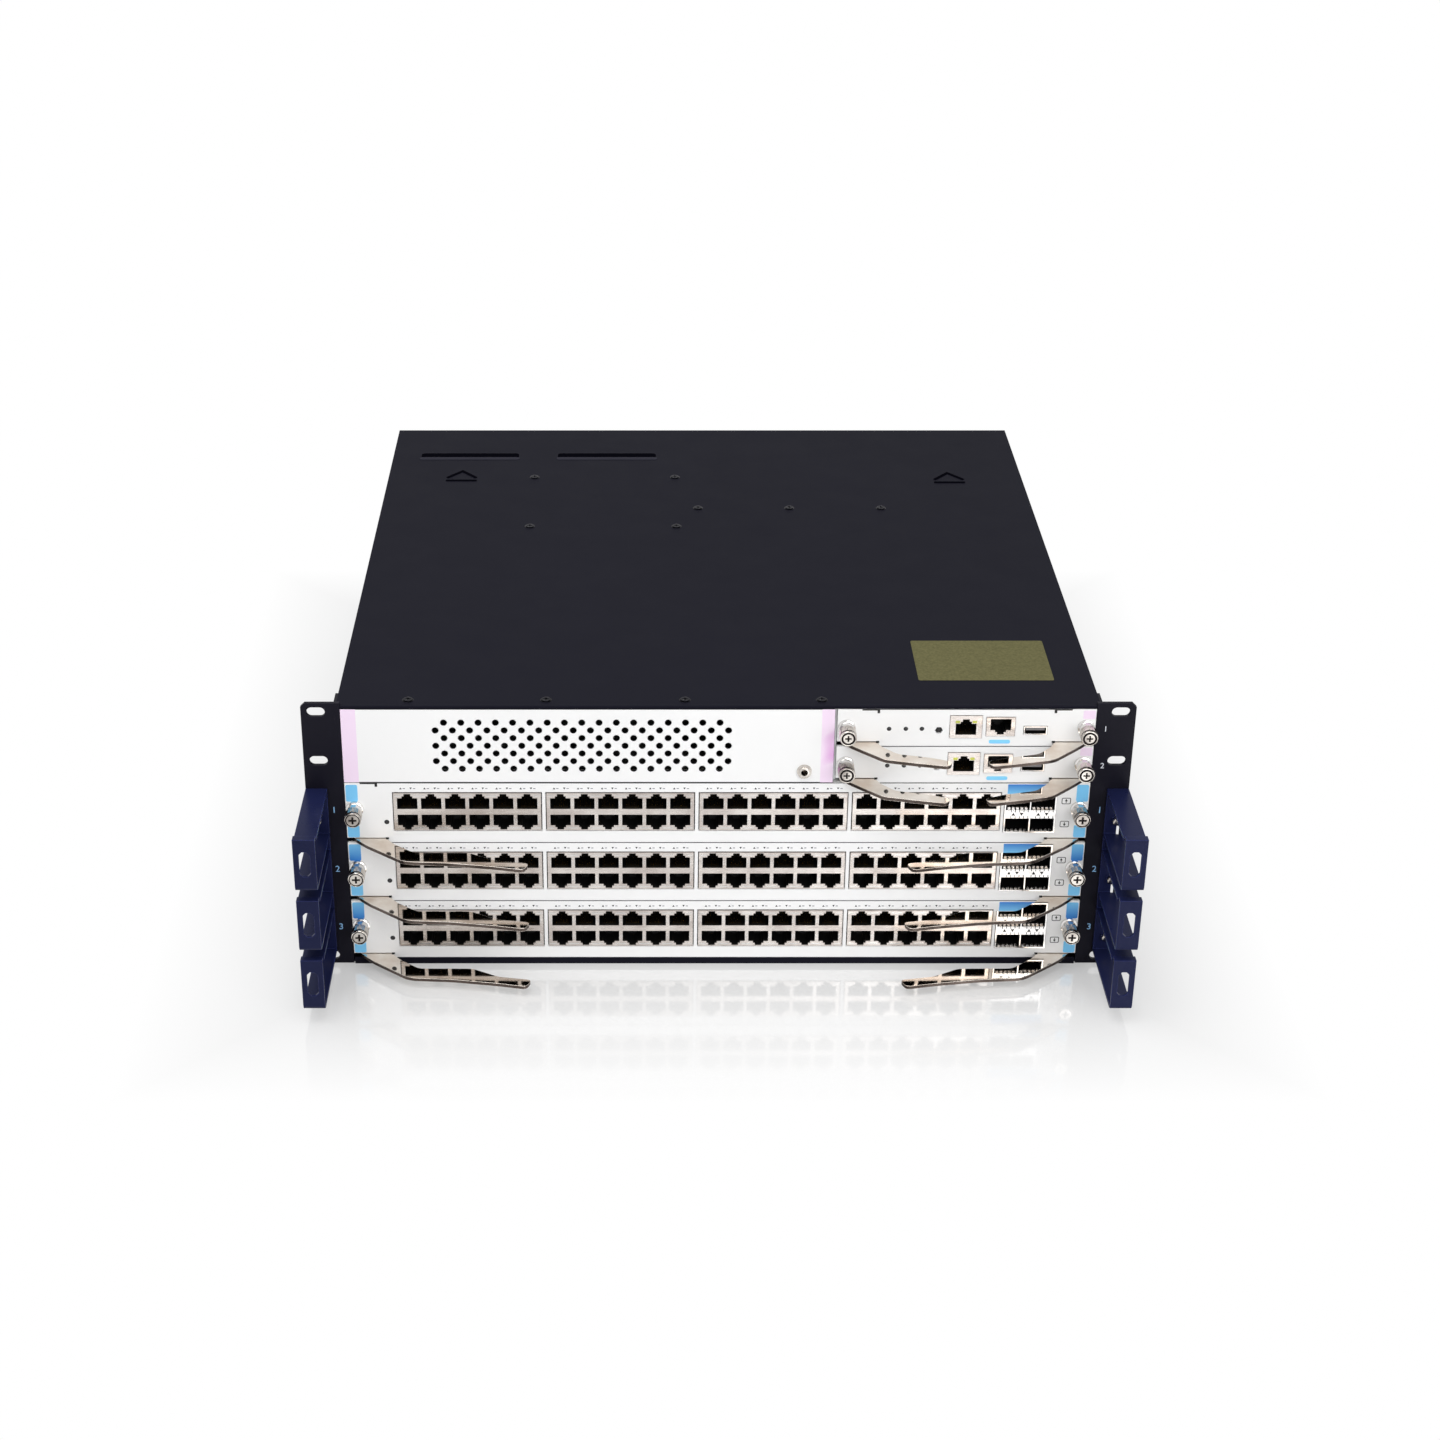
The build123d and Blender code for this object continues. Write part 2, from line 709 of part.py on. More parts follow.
with BuildPart() as power_board:
    board_near = supply_bay_near - 3
    block((0.3 - inner_half, supply_wall_x[1] - 1), (behind(board_near), behind(board_near + 2.4)),
          (shelf_top, cover_underside - 3))
    for left, right in ((-inner_half, supply_wall_x[0]), (supply_wall_x[0], supply_wall_x[1])):
        middle = (left + right) / 2
        block((middle - 29, middle + 29), (behind(board_near + 2.4), behind(supply_near - 6.3)),
              (supply_bottom + 8, supply_bottom + 16))
        block((middle - 36, middle + 36), (behind(board_near - 1), behind(board_near + 3)),
              (supply_bottom + 20, supply_bottom + 38), Mode.SUBTRACT)
save(power_board, "power_board")

# Fan tray: three square fan frames behind one plate, and the rotors on their spindles
fan_centres = [(i - (fan_count - 1) / 2) * fan_spacing for i in range(fan_count)]
fan_height = (fan_tray_bottom + fan_tray_top) / 2
fan_near = chassis_depth - fan_depth - 4
strut_near = chassis_depth - 2
tray_gap = 0.4
tray_plate = 2.0
fan_bore_sides = 16
spindle_boss = 14.0
spoke_width = 6.0

with BuildPart() as fan_tray:
    tray_half = fan_tray_half - tray_gap
    tray_low = fan_tray_bottom + tray_gap
    tray_high = fan_tray_top - tray_gap
    with BuildSketch(facing_front(chassis_depth)):
        with Locations((0, fan_height)):
            Rectangle(2 * tray_half, tray_high - tray_low)
        with Locations(*[(centre, fan_height) for centre in fan_centres]):
            RegularPolygon(fan_bore, fan_bore_sides, mode=Mode.SUBTRACT)
    extrude(amount=tray_plate)
    for low, high in ((tray_low, tray_low + tray_plate), (tray_high - tray_plate, tray_high)):
        block((-tray_half, tray_half), (behind(fan_near), behind(chassis_depth - tray_plate)),
              (low, high))
    with BuildSketch(facing_front(chassis_depth)):
        for centre in fan_centres:
            with Locations((centre, fan_height)):
                Rectangle(spindle_boss, spindle_boss)
                for angle in (0, 90):
                    Rectangle(2 * fan_bore + 2, spoke_width, rotation=angle)
    extrude(amount=tray_plate)
    for centre in fan_centres:
        prism(centre, fan_height, pivot_radius, pin_sides, fan_near + 6,
              chassis_depth - tray_plate)
    for x in (-fan_spacing / 2, fan_spacing / 2):
        add_handle(x, chassis_depth, fan_height - 24, fan_height + 24, 3)
save(fan_tray, "fan_tray")

blade_root = rotor_hub - 1.5
blade_thickness = 2.0
blade_depth = 26.0
blade_lean = 38.0

for index, centre in enumerate(fan_centres):
    with BuildPart() as fan_rotor:
        prism(centre, fan_height, rotor_hub, rotor_hub_sides, fan_near + 4, strut_near - 0.4)
        for blade in range(rotor_blades):
            turn = 360 * blade / rotor_blades
            reach = (blade_root + rotor_radius - 1.5) / 2
            middle_x = centre + reach * cos(radians(turn))
            middle_z = fan_height + reach * sin(radians(turn))
            blade_plane = Plane(origin=(middle_x, behind(fan_near + 19), middle_z),
                                x_dir=(cos(radians(turn)), 0, sin(radians(turn))),
                                z_dir=(0, -1, 0))
            with Locations(Location(blade_plane) * Location((0, 0, 0), (blade_lean, 0, 0))):
                Box(rotor_radius - 1.5 - blade_root, blade_thickness, blade_depth)
        prism(centre, fan_height, around(pivot_radius + pivot_clearance, hole_sides),
              hole_sides, fan_near + 5.9, strut_near + 1, Mode.SUBTRACT)
    save(fan_rotor, f"fan_rotor_{index + 1}")


# Faceplates, shared by both kinds of module
def make_faceplate(module, windows, round_holes):
    """A module's front: the plate with its folds and the tabs that hold the levers."""
    left = module["left"]
    right = module["right"]
    bottom = module["bottom"]
    top = bottom + module["height"]
    screw_height = bottom + module["screw"]
    with BuildPart() as faceplate:
        with BuildSketch(facing_front(face_sheet)):
            with Locations(((left + right) / 2, (bottom + top) / 2)):
                Rectangle(right - left, top - bottom)
            for edge, inward in module_sides(module):
                with Locations((edge + inward * notch_length / 2, bottom + notch_height / 2)):
                    Rectangle(notch_length, notch_height, mode=Mode.SUBTRACT)
            for x_low, x_high, z_low, z_high in windows:
                with Locations(((x_low + x_high) / 2, (z_low + z_high) / 2)):
                    Rectangle(x_high - x_low, z_high - z_low, mode=Mode.SUBTRACT)
            for x, z, radius in round_holes:
                with Locations((x, z)):
                    RegularPolygon(radius, hole_sides, mode=Mode.SUBTRACT)
        extrude(amount=face_sheet)
        for low, high in ((bottom, bottom + flange_sheet), (top - flange_sheet, top)):
            block((left + flange_inset, right - flange_inset),
                  (behind(face_sheet), behind(flange_depth)), (low, high))
        for edge, inward in module_sides(module):
            pivot = edge + inward * pivot_inset
            block(sorted((edge + inward * 1.0, edge + inward * (notch_length - 3))),
                  (behind(face_sheet), behind(pivot_depth + root_radius)),
                  (bottom + tab_rise, bottom + tab_rise + tab_thickness))
            with BuildSketch(Plane.XY.offset(bottom + tab_rise)) as pivot_hole:
                with Locations((pivot, behind(pivot_depth))):
                    RegularPolygon(around(pivot_radius + pivot_clearance, hole_sides),
                                   hole_sides)
            extrude(pivot_hole.sketch, amount=tab_thickness, mode=Mode.SUBTRACT)
            prism(edge + inward * screw_inset, screw_height,
                  around(screw_shank_radius + shank_clearance, hole_sides), hole_sides,
                  0, face_sheet, Mode.SUBTRACT)
    return faceplate


# Levers: a flat bar that leaves through the notch and runs across the front
root_turns = (-15, -70, -130, -190, -240)


def make_lever(module, edge, inward, inner_bends, outer_bends):
    """An ejector lever with its pivot pin, drawn from the module's end to the middle."""
    root = [(pivot_inset + root_radius * cos(radians(turn)),
             root_radius * sin(radians(turn)) - pivot_depth) for turn in root_turns]
    outline = [(edge + inward * inset, behind(-forward))
               for inset, forward in (*reversed(inner_bends), *root, *outer_bends)]
    low = module["bottom"] + lever_rise
    with BuildPart() as lever:
        with BuildSketch(Plane.XY.offset(low)):
            with BuildLine():
                Polyline(*outline, close=True)
            make_face()
        extrude(amount=lever_thickness)
        post(edge + inward * pivot_inset, behind(pivot_depth), pivot_radius,
             low + lever_thickness, module["bottom"] + tab_rise + tab_thickness)
    return lever


card_lever_inner = ((23.3, 0.0), (27.5, 6.2), (40.4, 17.0), (72.7, 17.2), (88.4, 26.0),
                    (108.7, 29.6))
card_lever_outer = ((12.5, 9.0), (33.4, 26.0), (38.4, 27.7), (61.4, 29.2), (88.4, 33.4),
                    (105.7, 37.0))
supervisor_lever_inner = ((23.3, 0.0), (25.6, 6.0), (34.0, 15.0), (53.4, 19.8), (64.9, 24.5))
supervisor_lever_outer = ((12.5, 9.0), (26.0, 22.0), (43.0, 26.2), (62.5, 30.4))


def make_captive_screw(module, edge, inward):
    """A captive screw: its grip and a shank that reaches through the tab behind."""
    x = edge + inward * screw_inset
    z = module["bottom"] + module["screw"]
    with BuildPart() as screw:
        prism(x, z, screw_head_radius, screw_head_sides, -screw_reach,
              screw_head_length - screw_reach)
        prism(x, z, screw_shank_radius, pin_sides, screw_head_length - screw_reach,
              screw_tail)
    return screw


def make_board(module, heat_sink, cut_outs, extras):
    """A circuit board with its rear connectors, finned heat sink and flat components."""
    left = module["left"]
    right = module["right"]
    top = module["bottom"] + module["board_top"]
    low = top - board_thickness
    with BuildPart() as board:
        with BuildSketch(Plane.XY.offset(low)):
            with BuildLine():
                Polyline(
                    (left + board_neck_inset, behind(face_sheet + 0.3)),
                    (right - board_neck_inset, behind(face_sheet + 0.3)),
                    (right - board_neck_inset, behind(board_neck_depth)),
                    (right - board_inset, behind(board_neck_depth)),
                    (right - board_inset, behind(board_end)),
                    (left + board_inset, behind(board_end)),
                    (left + board_inset, behind(board_neck_depth)),
                    (left + board_neck_inset, behind(board_neck_depth)),
                    close=True,
                )
            make_face()
            for x_low, x_high, near, far in cut_outs:
                with Locations(((x_low + x_high) / 2, behind((near + far) / 2))):
                    Rectangle(x_high - x_low, far - near, mode=Mode.SUBTRACT)
        extrude(amount=board_thickness)
        for centre in module["headers"]:
            block((centre - header_width / 2, centre + header_width / 2),
                  (behind(board_end - 12), behind(backplane_depth - header_depth - connector_gap)),
                  (top, top + header_height))
        x, depth, width, height, fins = heat_sink
        block((x - width / 2, x + width / 2), (behind(depth), behind(depth + width)),
              (top, top + height))
        gap = width / (2 * fins - 1)
        for fin in range(fins - 1):
            groove = x - width / 2 + (2 * fin + 1) * gap
            block((groove, groove + gap), (behind(depth - 1), behind(depth + width + 1)),
                  (top + 3, top + height + 1), Mode.SUBTRACT)
        for x, depth, width, length, height in extras:
            block((x - width / 2, x + width / 2), (behind(depth), behind(depth + length)),
                  (top, top + height))
    return board


def add_mouth(x, z, up):
    """The mouth of a network socket, narrowed to its latch notch above or below."""
    half = port_width / 2
    notch = port_notch_width / 2
    low = z - up * port_height / 2
    shoulder = z + up * port_height / 2
    crest = shoulder + up * port_notch_height
    Polygon((x - half, low), (x + half, low), (x + half, shoulder), (x + notch, crest),
            (x - notch, crest), (x - half, shoulder), align=None)


def add_port_block(centre, low):
    """A shielded block of sockets in two rows, latches outwards."""
    middle = low + block_height / 2
    with BuildSketch(facing_front(block_depth)) as shield:
        with Locations((centre, middle)):
            Rectangle(block_width, block_height)
    extrude(shield.sketch, amount=block_depth + 0.3)
    with BuildSketch(facing_front(port_depth)) as mouths:
        for column in range(port_columns):
            x = centre + (column - (port_columns - 1) / 2) * port_pitch
            for up in (1, -1):
                add_mouth(x, middle + up * (port_bar + port_height) / 2, up)
    extrude(mouths.sketch, amount=port_depth + 1, mode=Mode.SUBTRACT)


block_centres = [block_first + i * block_pitch for i in range(block_count)]

for index, card in enumerate(line_cards):
    name = f"line_card_{index + 1}"
    bottom = card["bottom"]
    block_low = bottom + card["board_top"]
    windows = [(centre - block_width / 2 - window_gap, centre + block_width / 2 + window_gap,
                block_low - window_gap, block_low + block_height + window_gap)
               for centre in block_centres]
    cage_left = cage_centre - cage_width / 2
    cage_right = cage_centre + cage_width / 2
    cage_low = bottom + cage_bottom
    windows.append((cage_left - window_gap, cage_right + window_gap,
                    cage_low - window_gap, cage_low + cage_height + window_gap))
    save(make_faceplate(card, windows, ()), f"{name}_faceplate")
    cut_outs = [(cage_left - 0.3, cage_right + 0.3, 0, cage_depth + 0.3)]
    chips = ((-120, 60, 34, 34, 3), (110, 60, 34, 34, 3), (-150, 160, 30, 60, 12))
    save(make_board(card, (0, 100, 70, 20, 5), cut_outs, chips), f"{name}_board")

    with BuildPart() as port_blocks:
        for centre in block_centres:
            add_port_block(centre, block_low)
    save(port_blocks, f"{name}_port_blocks")

    with BuildPart() as fibre_cage:
        block((cage_left, cage_right), (behind(-cage_proud), behind(cage_depth)),
              (cage_low, cage_low + cage_height))
        socket_x = (cage_width / 2 - cage_wall - cage_socket_width / 2)
        socket_z = (cage_height / 2 - cage_wall - cage_socket_height / 2)
        with BuildSketch(facing_front(cage_depth - 6)):
            with Locations((cage_centre, cage_low + cage_height / 2)):
                with GridLocations(2 * socket_x, 2 * socket_z, 2, 2):
                    Rectangle(cage_socket_width, cage_socket_height)
        extrude(amount=cage_depth, mode=Mode.SUBTRACT)
    save(fibre_cage, f"{name}_fibre_cage")

    for (edge, inward), side_name in zip(module_sides(card), ("left", "right")):
        save(make_lever(card, edge, inward, card_lever_inner, card_lever_outer),
             f"{name}_lever_{side_name}")
        save(make_captive_screw(card, edge, inward), f"{name}_screw_{side_name}")

# Supervisor modules, with two network sockets, a serial bus socket and a reset button
button_x = lan_limits[0] - button_gap
button_rise = supervisor_height / 2 + button_lift
sockets = (lan_limits, console_limits, bus_limits)
bus_socket_length = 14.0
network_socket_length = 16.0
bus_hollow = 10.0
bus_wall = 0.4

for index, supervisor in enumerate(supervisors):
    name = f"supervisor_{index + 1}"
    bottom = supervisor["bottom"]
    board_top = bottom + supervisor["board_top"]
    windows = [(left - window_gap, right + window_gap, bottom + low - window_gap,
                bottom + high + window_gap) for left, right, low, high in sockets]
    holes = ((button_x, bottom + button_rise, button_radius + 0.6),)
    save(make_faceplate(supervisor, windows, holes), f"{name}_faceplate")
    middle_x = supervisor["headers"][0]
    chips = ((middle_x - 34, 110, 24, 24, 2.6), (middle_x + 31, 120, 30, 30, 2.6),
             (button_x, 9.5, 7, 6, 7.5))
    save(make_board(supervisor, (middle_x, 170, 44, 12, 4), (), chips), f"{name}_board")

    with BuildPart() as socket_group:
        for limits in sockets:
            left, right, low, high = limits
            is_bus = limits is bus_limits
            depth = bus_socket_length if is_bus else network_socket_length
            block((left, right), (behind(-0.3), behind(depth)), (bottom + low, bottom + high))
            block((left, right), (behind(face_sheet + 0.3), behind(depth)),
                  (board_top, bottom + low + 0.1))
            centre = (left + right) / 2
            middle = bottom + (low + high) / 2
            if is_bus:
                block((left + bus_wall, right - bus_wall), (behind(-1), behind(bus_hollow)),
                      (bottom + low + bus_wall, bottom + high - bus_wall), Mode.SUBTRACT)
            else:
                up = 1 if limits is lan_limits else -1
                with BuildSketch(facing_front(port_depth)) as mouth:
                    add_mouth(centre, middle - up * port_notch_height / 2, up)
                extrude(mouth.sketch, amount=port_depth + 1, mode=Mode.SUBTRACT)
    save(socket_group, f"{name}_sockets")

    with BuildPart() as reset_button:
        prism(button_x, bottom + button_rise, button_radius, 8, 0.4, 8.2)
    save(reset_button, f"{name}_reset_button")

    for (edge, inward), side_name in zip(module_sides(supervisor), ("left", "right")):
        save(make_lever(supervisor, edge, inward, supervisor_lever_inner,
                        supervisor_lever_outer), f"{name}_lever_{side_name}")
        save(make_captive_screw(supervisor, edge, inward), f"{name}_screw_{side_name}")
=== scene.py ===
"""The looks of a modular chassis switch, built around its fixed frame.

Lengths are in metres. +X is to the right as seen from the front, +Y to the rear and +Z up.
Depths are counted backwards from the front plane, and heights from a module's lower edge.
"""

import json
import math

import bmesh
import bpy
from mathutils import Matrix, Vector
from mathutils.geometry import tessellate_polygon


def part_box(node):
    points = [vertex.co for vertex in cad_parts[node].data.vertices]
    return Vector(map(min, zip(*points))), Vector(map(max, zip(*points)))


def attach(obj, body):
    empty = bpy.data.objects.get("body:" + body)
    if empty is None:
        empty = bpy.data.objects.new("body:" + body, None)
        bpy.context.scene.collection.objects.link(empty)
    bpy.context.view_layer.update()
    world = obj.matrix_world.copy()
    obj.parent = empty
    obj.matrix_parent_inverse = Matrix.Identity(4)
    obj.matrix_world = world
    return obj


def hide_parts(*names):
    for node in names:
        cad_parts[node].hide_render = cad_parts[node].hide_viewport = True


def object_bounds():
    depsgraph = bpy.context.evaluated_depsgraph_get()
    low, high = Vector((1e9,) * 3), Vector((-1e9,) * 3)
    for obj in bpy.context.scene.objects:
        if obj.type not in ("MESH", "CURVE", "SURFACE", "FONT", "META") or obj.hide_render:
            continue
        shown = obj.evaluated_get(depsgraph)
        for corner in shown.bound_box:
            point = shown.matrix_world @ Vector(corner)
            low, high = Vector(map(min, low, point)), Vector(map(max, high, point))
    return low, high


bl_info = {
    "name": "Modular chassis switch",
    "version": (1, 0, 0),
    "blender": (4, 5, 0),
    "location": "View3D > Sidebar > Chassis",
    "description": "Dresses a rack chassis with its modules, sockets, levers and finishes",
    "category": "Object",
}

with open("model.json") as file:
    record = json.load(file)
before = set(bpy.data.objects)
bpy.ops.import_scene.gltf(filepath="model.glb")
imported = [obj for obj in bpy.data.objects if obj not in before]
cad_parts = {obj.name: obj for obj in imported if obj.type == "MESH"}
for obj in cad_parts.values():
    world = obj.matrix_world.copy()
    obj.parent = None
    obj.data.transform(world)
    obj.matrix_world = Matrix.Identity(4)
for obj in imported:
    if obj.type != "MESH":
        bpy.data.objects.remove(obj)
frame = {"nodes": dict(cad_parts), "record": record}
cad_low, cad_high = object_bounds()

MM = 0.001
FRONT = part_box("vent_panel")[0].y
CARDS = ["line_card_1", "line_card_2", "line_card_3"]
SUPERVISORS = ["supervisor_1", "supervisor_2"]
MODULES = CARDS + SUPERVISORS
SIDES = (("left", 1), ("right", -1))


def srgb(*levels):
    """A colour as a screen shows it, from 0 to 255, in a shader's linear values."""
    shares = [level / 255 for level in levels]
    return tuple(s / 12.92 if s <= 0.04045 else ((s + 0.055) / 1.055) ** 2.4 for s in shares)


def lengths(*millimetres):
    """Lengths in metres, given in millimetres."""
    return tuple(value * MM for value in millimetres)


def places(*pairs):
    """Points or profiles in metres, given as pairs in millimetres."""
    return [lengths(*pair) for pair in pairs]


def colour_property(name, description, default):
    """A colour that the sidebar shows."""
    return bpy.props.FloatVectorProperty(name=name, description=description, default=default,
                                         subtype="COLOR", size=3, min=0.0, max=1.0)


def length_property(name, description, millimetres):
    """A length that the sidebar shows."""
    return bpy.props.FloatProperty(name=name, description=description,
                                   default=millimetres * MM, unit="LENGTH", min=0.0)


class ChassisColours(bpy.types.PropertyGroup):
    """The colours of the paints, metals and plastics."""

    coat: colour_property("Case coat", "Blue-black powder coat of the case", srgb(22, 22, 32))
    ear_coat: colour_property("Ear coat", "Smooth coat of the rack ears", srgb(20, 19, 29))
    navy: colour_property("Bracket paint", "Glossy paint of the brackets", srgb(24, 29, 62))
    white: colour_property("Front paint", "White paint of the fronts", srgb(246, 246, 246))
    sky: colour_property("Sky blue", "Light end of the blue bands", srgb(128, 208, 255))
    azure: colour_property("Mid blue", "Dark end of the blue bands", srgb(45, 128, 216))
    pink: colour_property("Pale pink", "Ground of the pink bands", srgb(248, 226, 248))
    magenta: colour_property("Magenta", "Clouds in the pink bands", srgb(222, 150, 220))
    tin: colour_property("Socket shield", "Plated sheet of the sockets", srgb(232, 225, 219))
    nickel: colour_property("Nickel", "Plating of levers and screws", srgb(240, 234, 226))
    zinc: colour_property("Zinc", "Bare sheet inside the case", srgb(190, 192, 194))
    gold: colour_property("Contacts", "Plating of the contacts", srgb(232, 190, 96))
    black: colour_property("Black plastic", "Housings and rotors", srgb(22, 21, 22))
    ink: colour_property("Ink", "Printed marks on the fronts", srgb(34, 35, 38))
    label: colour_property("Cover label", "Plain label on the cover", srgb(97, 94, 62))
    mask: colour_property("Solder mask", "Lacquer of the circuit boards", srgb(22, 92, 52))
    numeral: colour_property("Numerals", "Slot numerals on the ears", srgb(150, 200, 248))


class SocketSizes(bpy.types.PropertyGroup):
    """The network sockets and their blocks."""

    pitch: length_property("Pitch", "Distance between sockets in a row", 14.1)
    width: length_property("Width", "Width of a socket's mouth", 12.0)
    height: length_property("Height", "Height of a mouth without its latch notch", 7.2)
    notch: length_property("Latch notch", "Height of the latch notch", 2.8)
    bar: length_property("Middle bar", "Bar between the two rows", 3.8)
    depth: length_property("Depth", "Depth of the hollow", 13.0)
    columns: bpy.props.IntProperty(name="Columns", description="Sockets in a row of a block",
                                   default=6, min=1)


class ScrewSizes(bpy.types.PropertyGroup):
    """The captive screws."""

    head_radius: length_property("Head radius", "Radius of the grip", 5.0)
    head_length: length_property("Head length", "Length of the grip", 8.0)
    reach: length_property("Reach", "How far the grip stands out", 15.0)
    ferrule_radius: length_property("Ferrule radius", "Radius of the fixed sleeve", 4.5)


class StageSettings(bpy.types.PropertyGroup):
    """The camera, the lamps and the floor."""

    lens: bpy.props.FloatProperty(name="Lens", description="Focal length on a 36 mm sensor",
                                  default=64.62, unit="CAMERA", min=1.0)
    place: bpy.props.FloatVectorProperty(name="Place", description="Where the camera stands",
                                         default=(-0.0446, -1.5547, 0.8453),
                                         subtype="TRANSLATION", size=3)
    tilt: bpy.props.FloatProperty(name="Tilt", description="Angle down from the level",
                                  default=math.radians(27.282), subtype="ANGLE")
    shift: bpy.props.FloatVectorProperty(name="Shift", description="Shift of the frame",
                                         default=(0.0548, 0.0075), size=2)
    ambient: bpy.props.FloatProperty(name="Ambient", description="Strength of the sky light",
                                     default=0.58, min=0.0)
    zenith: bpy.props.FloatProperty(name="Zenith", description="Share of white that gloss "
                                    "shows straight above", default=0.3, min=0.0, max=1.0,
                                    subtype="FACTOR")
    key: bpy.props.FloatProperty(name="Key", description="Power of the large lamp above",
                                 default=27.0, unit="POWER", min=0.0)
    fill: bpy.props.FloatProperty(name="Fill", description="Power of the lamp at the front",
                                  default=14.0, unit="POWER", min=0.0)
    floor_glow: bpy.props.FloatProperty(name="Floor white", description="Share of plain white "
                                        "that the camera sees in the floor",
                                        default=0.3, min=0.0, max=1.0, subtype="FACTOR")


def colours():
    """The scene's chosen colours."""
    return bpy.context.scene.chassis_colours


# Meshes


def behind(depth):
    """The Y of a plane that lies so far behind the front plane."""
    return FRONT + depth


def centre_of(node):
    """The X and the Z of the middle of a node's box."""
    low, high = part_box(node)
    return (low.x + high.x) / 2, (low.z + high.z) / 2


def rectangle(left, right, low, high):
    """The corners of a rectangle, in turn."""
    return [(left, low), (right, low), (right, high), (left, high)]


def centred(x, z, half, tall):
    """A rectangle about a middle point."""
    return rectangle(x - half, x + half, z - tall, z + tall)


def fillet(points, radius, steps=4):
    """An outline with its corners rounded, as far as its sides leave room."""
    rounded = []
    count = len(points)
    for i in range(count):
        corner = Vector(points[i])
        before = Vector(points[i - 1]) - corner
        after = Vector(points[(i + 1) % count]) - corner
        reach = min(radius, before.length * 0.49, after.length * 0.49)
        start = corner + before.normalized() * reach
        end = corner + after.normalized() * reach
        for step in range(steps + 1):
            share = step / steps
            first = start.lerp(corner, share)
            second = corner.lerp(end, share)
            rounded.append(tuple(first.lerp(second, share)))
    return rounded


def circle(x, z, radius, steps=24):
    """The points of a circle."""
    turns = [2 * math.pi * i / steps for i in range(steps)]
    return [(x + radius * math.cos(t), z + radius * math.sin(t)) for t in turns]


def settle_faces(bm, faces, slot, smooth=False):
    """Give new faces their finish and turn them outwards."""
    for face in faces:
        face.material_index = slot
        face.smooth = smooth
    bmesh.ops.recalc_face_normals(bm, faces=faces)


def add_prism(bm, outline, holes, lift, slot=0, wall_slot=None):
    """Fill an outline around its holes and give it two sides, where lift puts them."""
    loops = [outline, *holes]
    flat = [[Vector((a, b, 0.0)) for a, b in loop] for loop in loops]
    points = [point for loop in loops for point in loop]
    sides = [[bm.verts.new(lift(a, b, side)) for a, b in points] for side in (0, 1)]
    faces = []
    for triangle in tessellate_polygon(flat):
        for side in sides:
            corners = [side[i] for i in triangle]
            if len(set(corners)) == 3:
                faces.append(bm.faces.new(corners))
    walls = []
    start = 0
    for loop in loops:
        size = len(loop)
        for i in range(size):
            a = start + i
            b = start + (i + 1) % size
            walls.append(bm.faces.new((sides[0][a], sides[0][b], sides[1][b], sides[1][a])))
        start += size
    settle_faces(bm, faces + walls, slot)
    if wall_slot is not None:
        for face in walls:
            face.material_index = wall_slot


def add_plate(bm, outline, holes, near, far, slot=0, wall_slot=None):
    """A sheet that faces the front, between two depths."""
    planes = (behind(near), behind(far))
    add_prism(bm, outline, holes, lambda x, z, side: (x, planes[side], z), slot, wall_slot)


def add_slab(bm, outline, holes, low, high, slot=0, wall_slot=None):
    """A sheet that lies flat, between two heights."""
    planes = (low, high)
    add_prism(bm, outline, holes, lambda x, y, side: (x, y, planes[side]), slot, wall_slot)


def add_wall(bm, outline, holes, x_from, x_to):
    """A sheet that stands upright and faces the side, between two X planes."""
    planes = (x_from, x_to)
    add_prism(bm, outline, holes, lambda y, z, side: (planes[side], y, z))


def add_block(bm, x, depth, z, slot=0):
    """A block between pairs of limits, with its depth behind the front plane."""
    add_plate(bm, rectangle(*x, *z), (), *depth, slot)


def add_lathe(bm, profile, x, z, slot=0, steps=32):
    """Turn a closed profile of depths and radii about an axis from front to rear."""
    rings = []
    for depth, radius in profile:
        if radius < 1e-6:
            rings.append([bm.verts.new((x, behind(depth), z))])
        else:
            rings.append([bm.verts.new((a, behind(depth), b))
                          for a, b in circle(x, z, radius, steps)])
    faces = []
    for first, second in zip(rings, rings[1:] + rings[:1]):
        for i in range(steps):
            j = (i + 1) % steps
            corners = [first[i % len(first)], first[j % len(first)],
                       second[j % len(second)], second[i % len(second)]]
            unique = list(dict.fromkeys(corners))
            if len(unique) > 2:
                faces.append(bm.faces.new(unique))
    settle_faces(bm, faces, slot, True)


def add_bar(bm, start, end, width, thickness, slot=0):
    """A thin flat bar between two points, as wide along X as told."""
    start = Vector(start)
    end = Vector(end)
    across = Vector((width / 2, 0, 0))
    up = (end - start).normalized().cross(Vector((1, 0, 0))) * thickness / 2
    ends = [[bm.verts.new(point + sx * across + sz * up)
             for sx, sz in ((-1, -1), (1, -1), (1, 1), (-1, 1))] for point in (start, end)]
    faces = [bm.faces.new(ends[0]), bm.faces.new(ends[1])]
    for i in range(4):
        j = (i + 1) % 4
        faces.append(bm.faces.new((ends[0][i], ends[0][j], ends[1][j], ends[1][i])))
    settle_faces(bm, faces, slot)


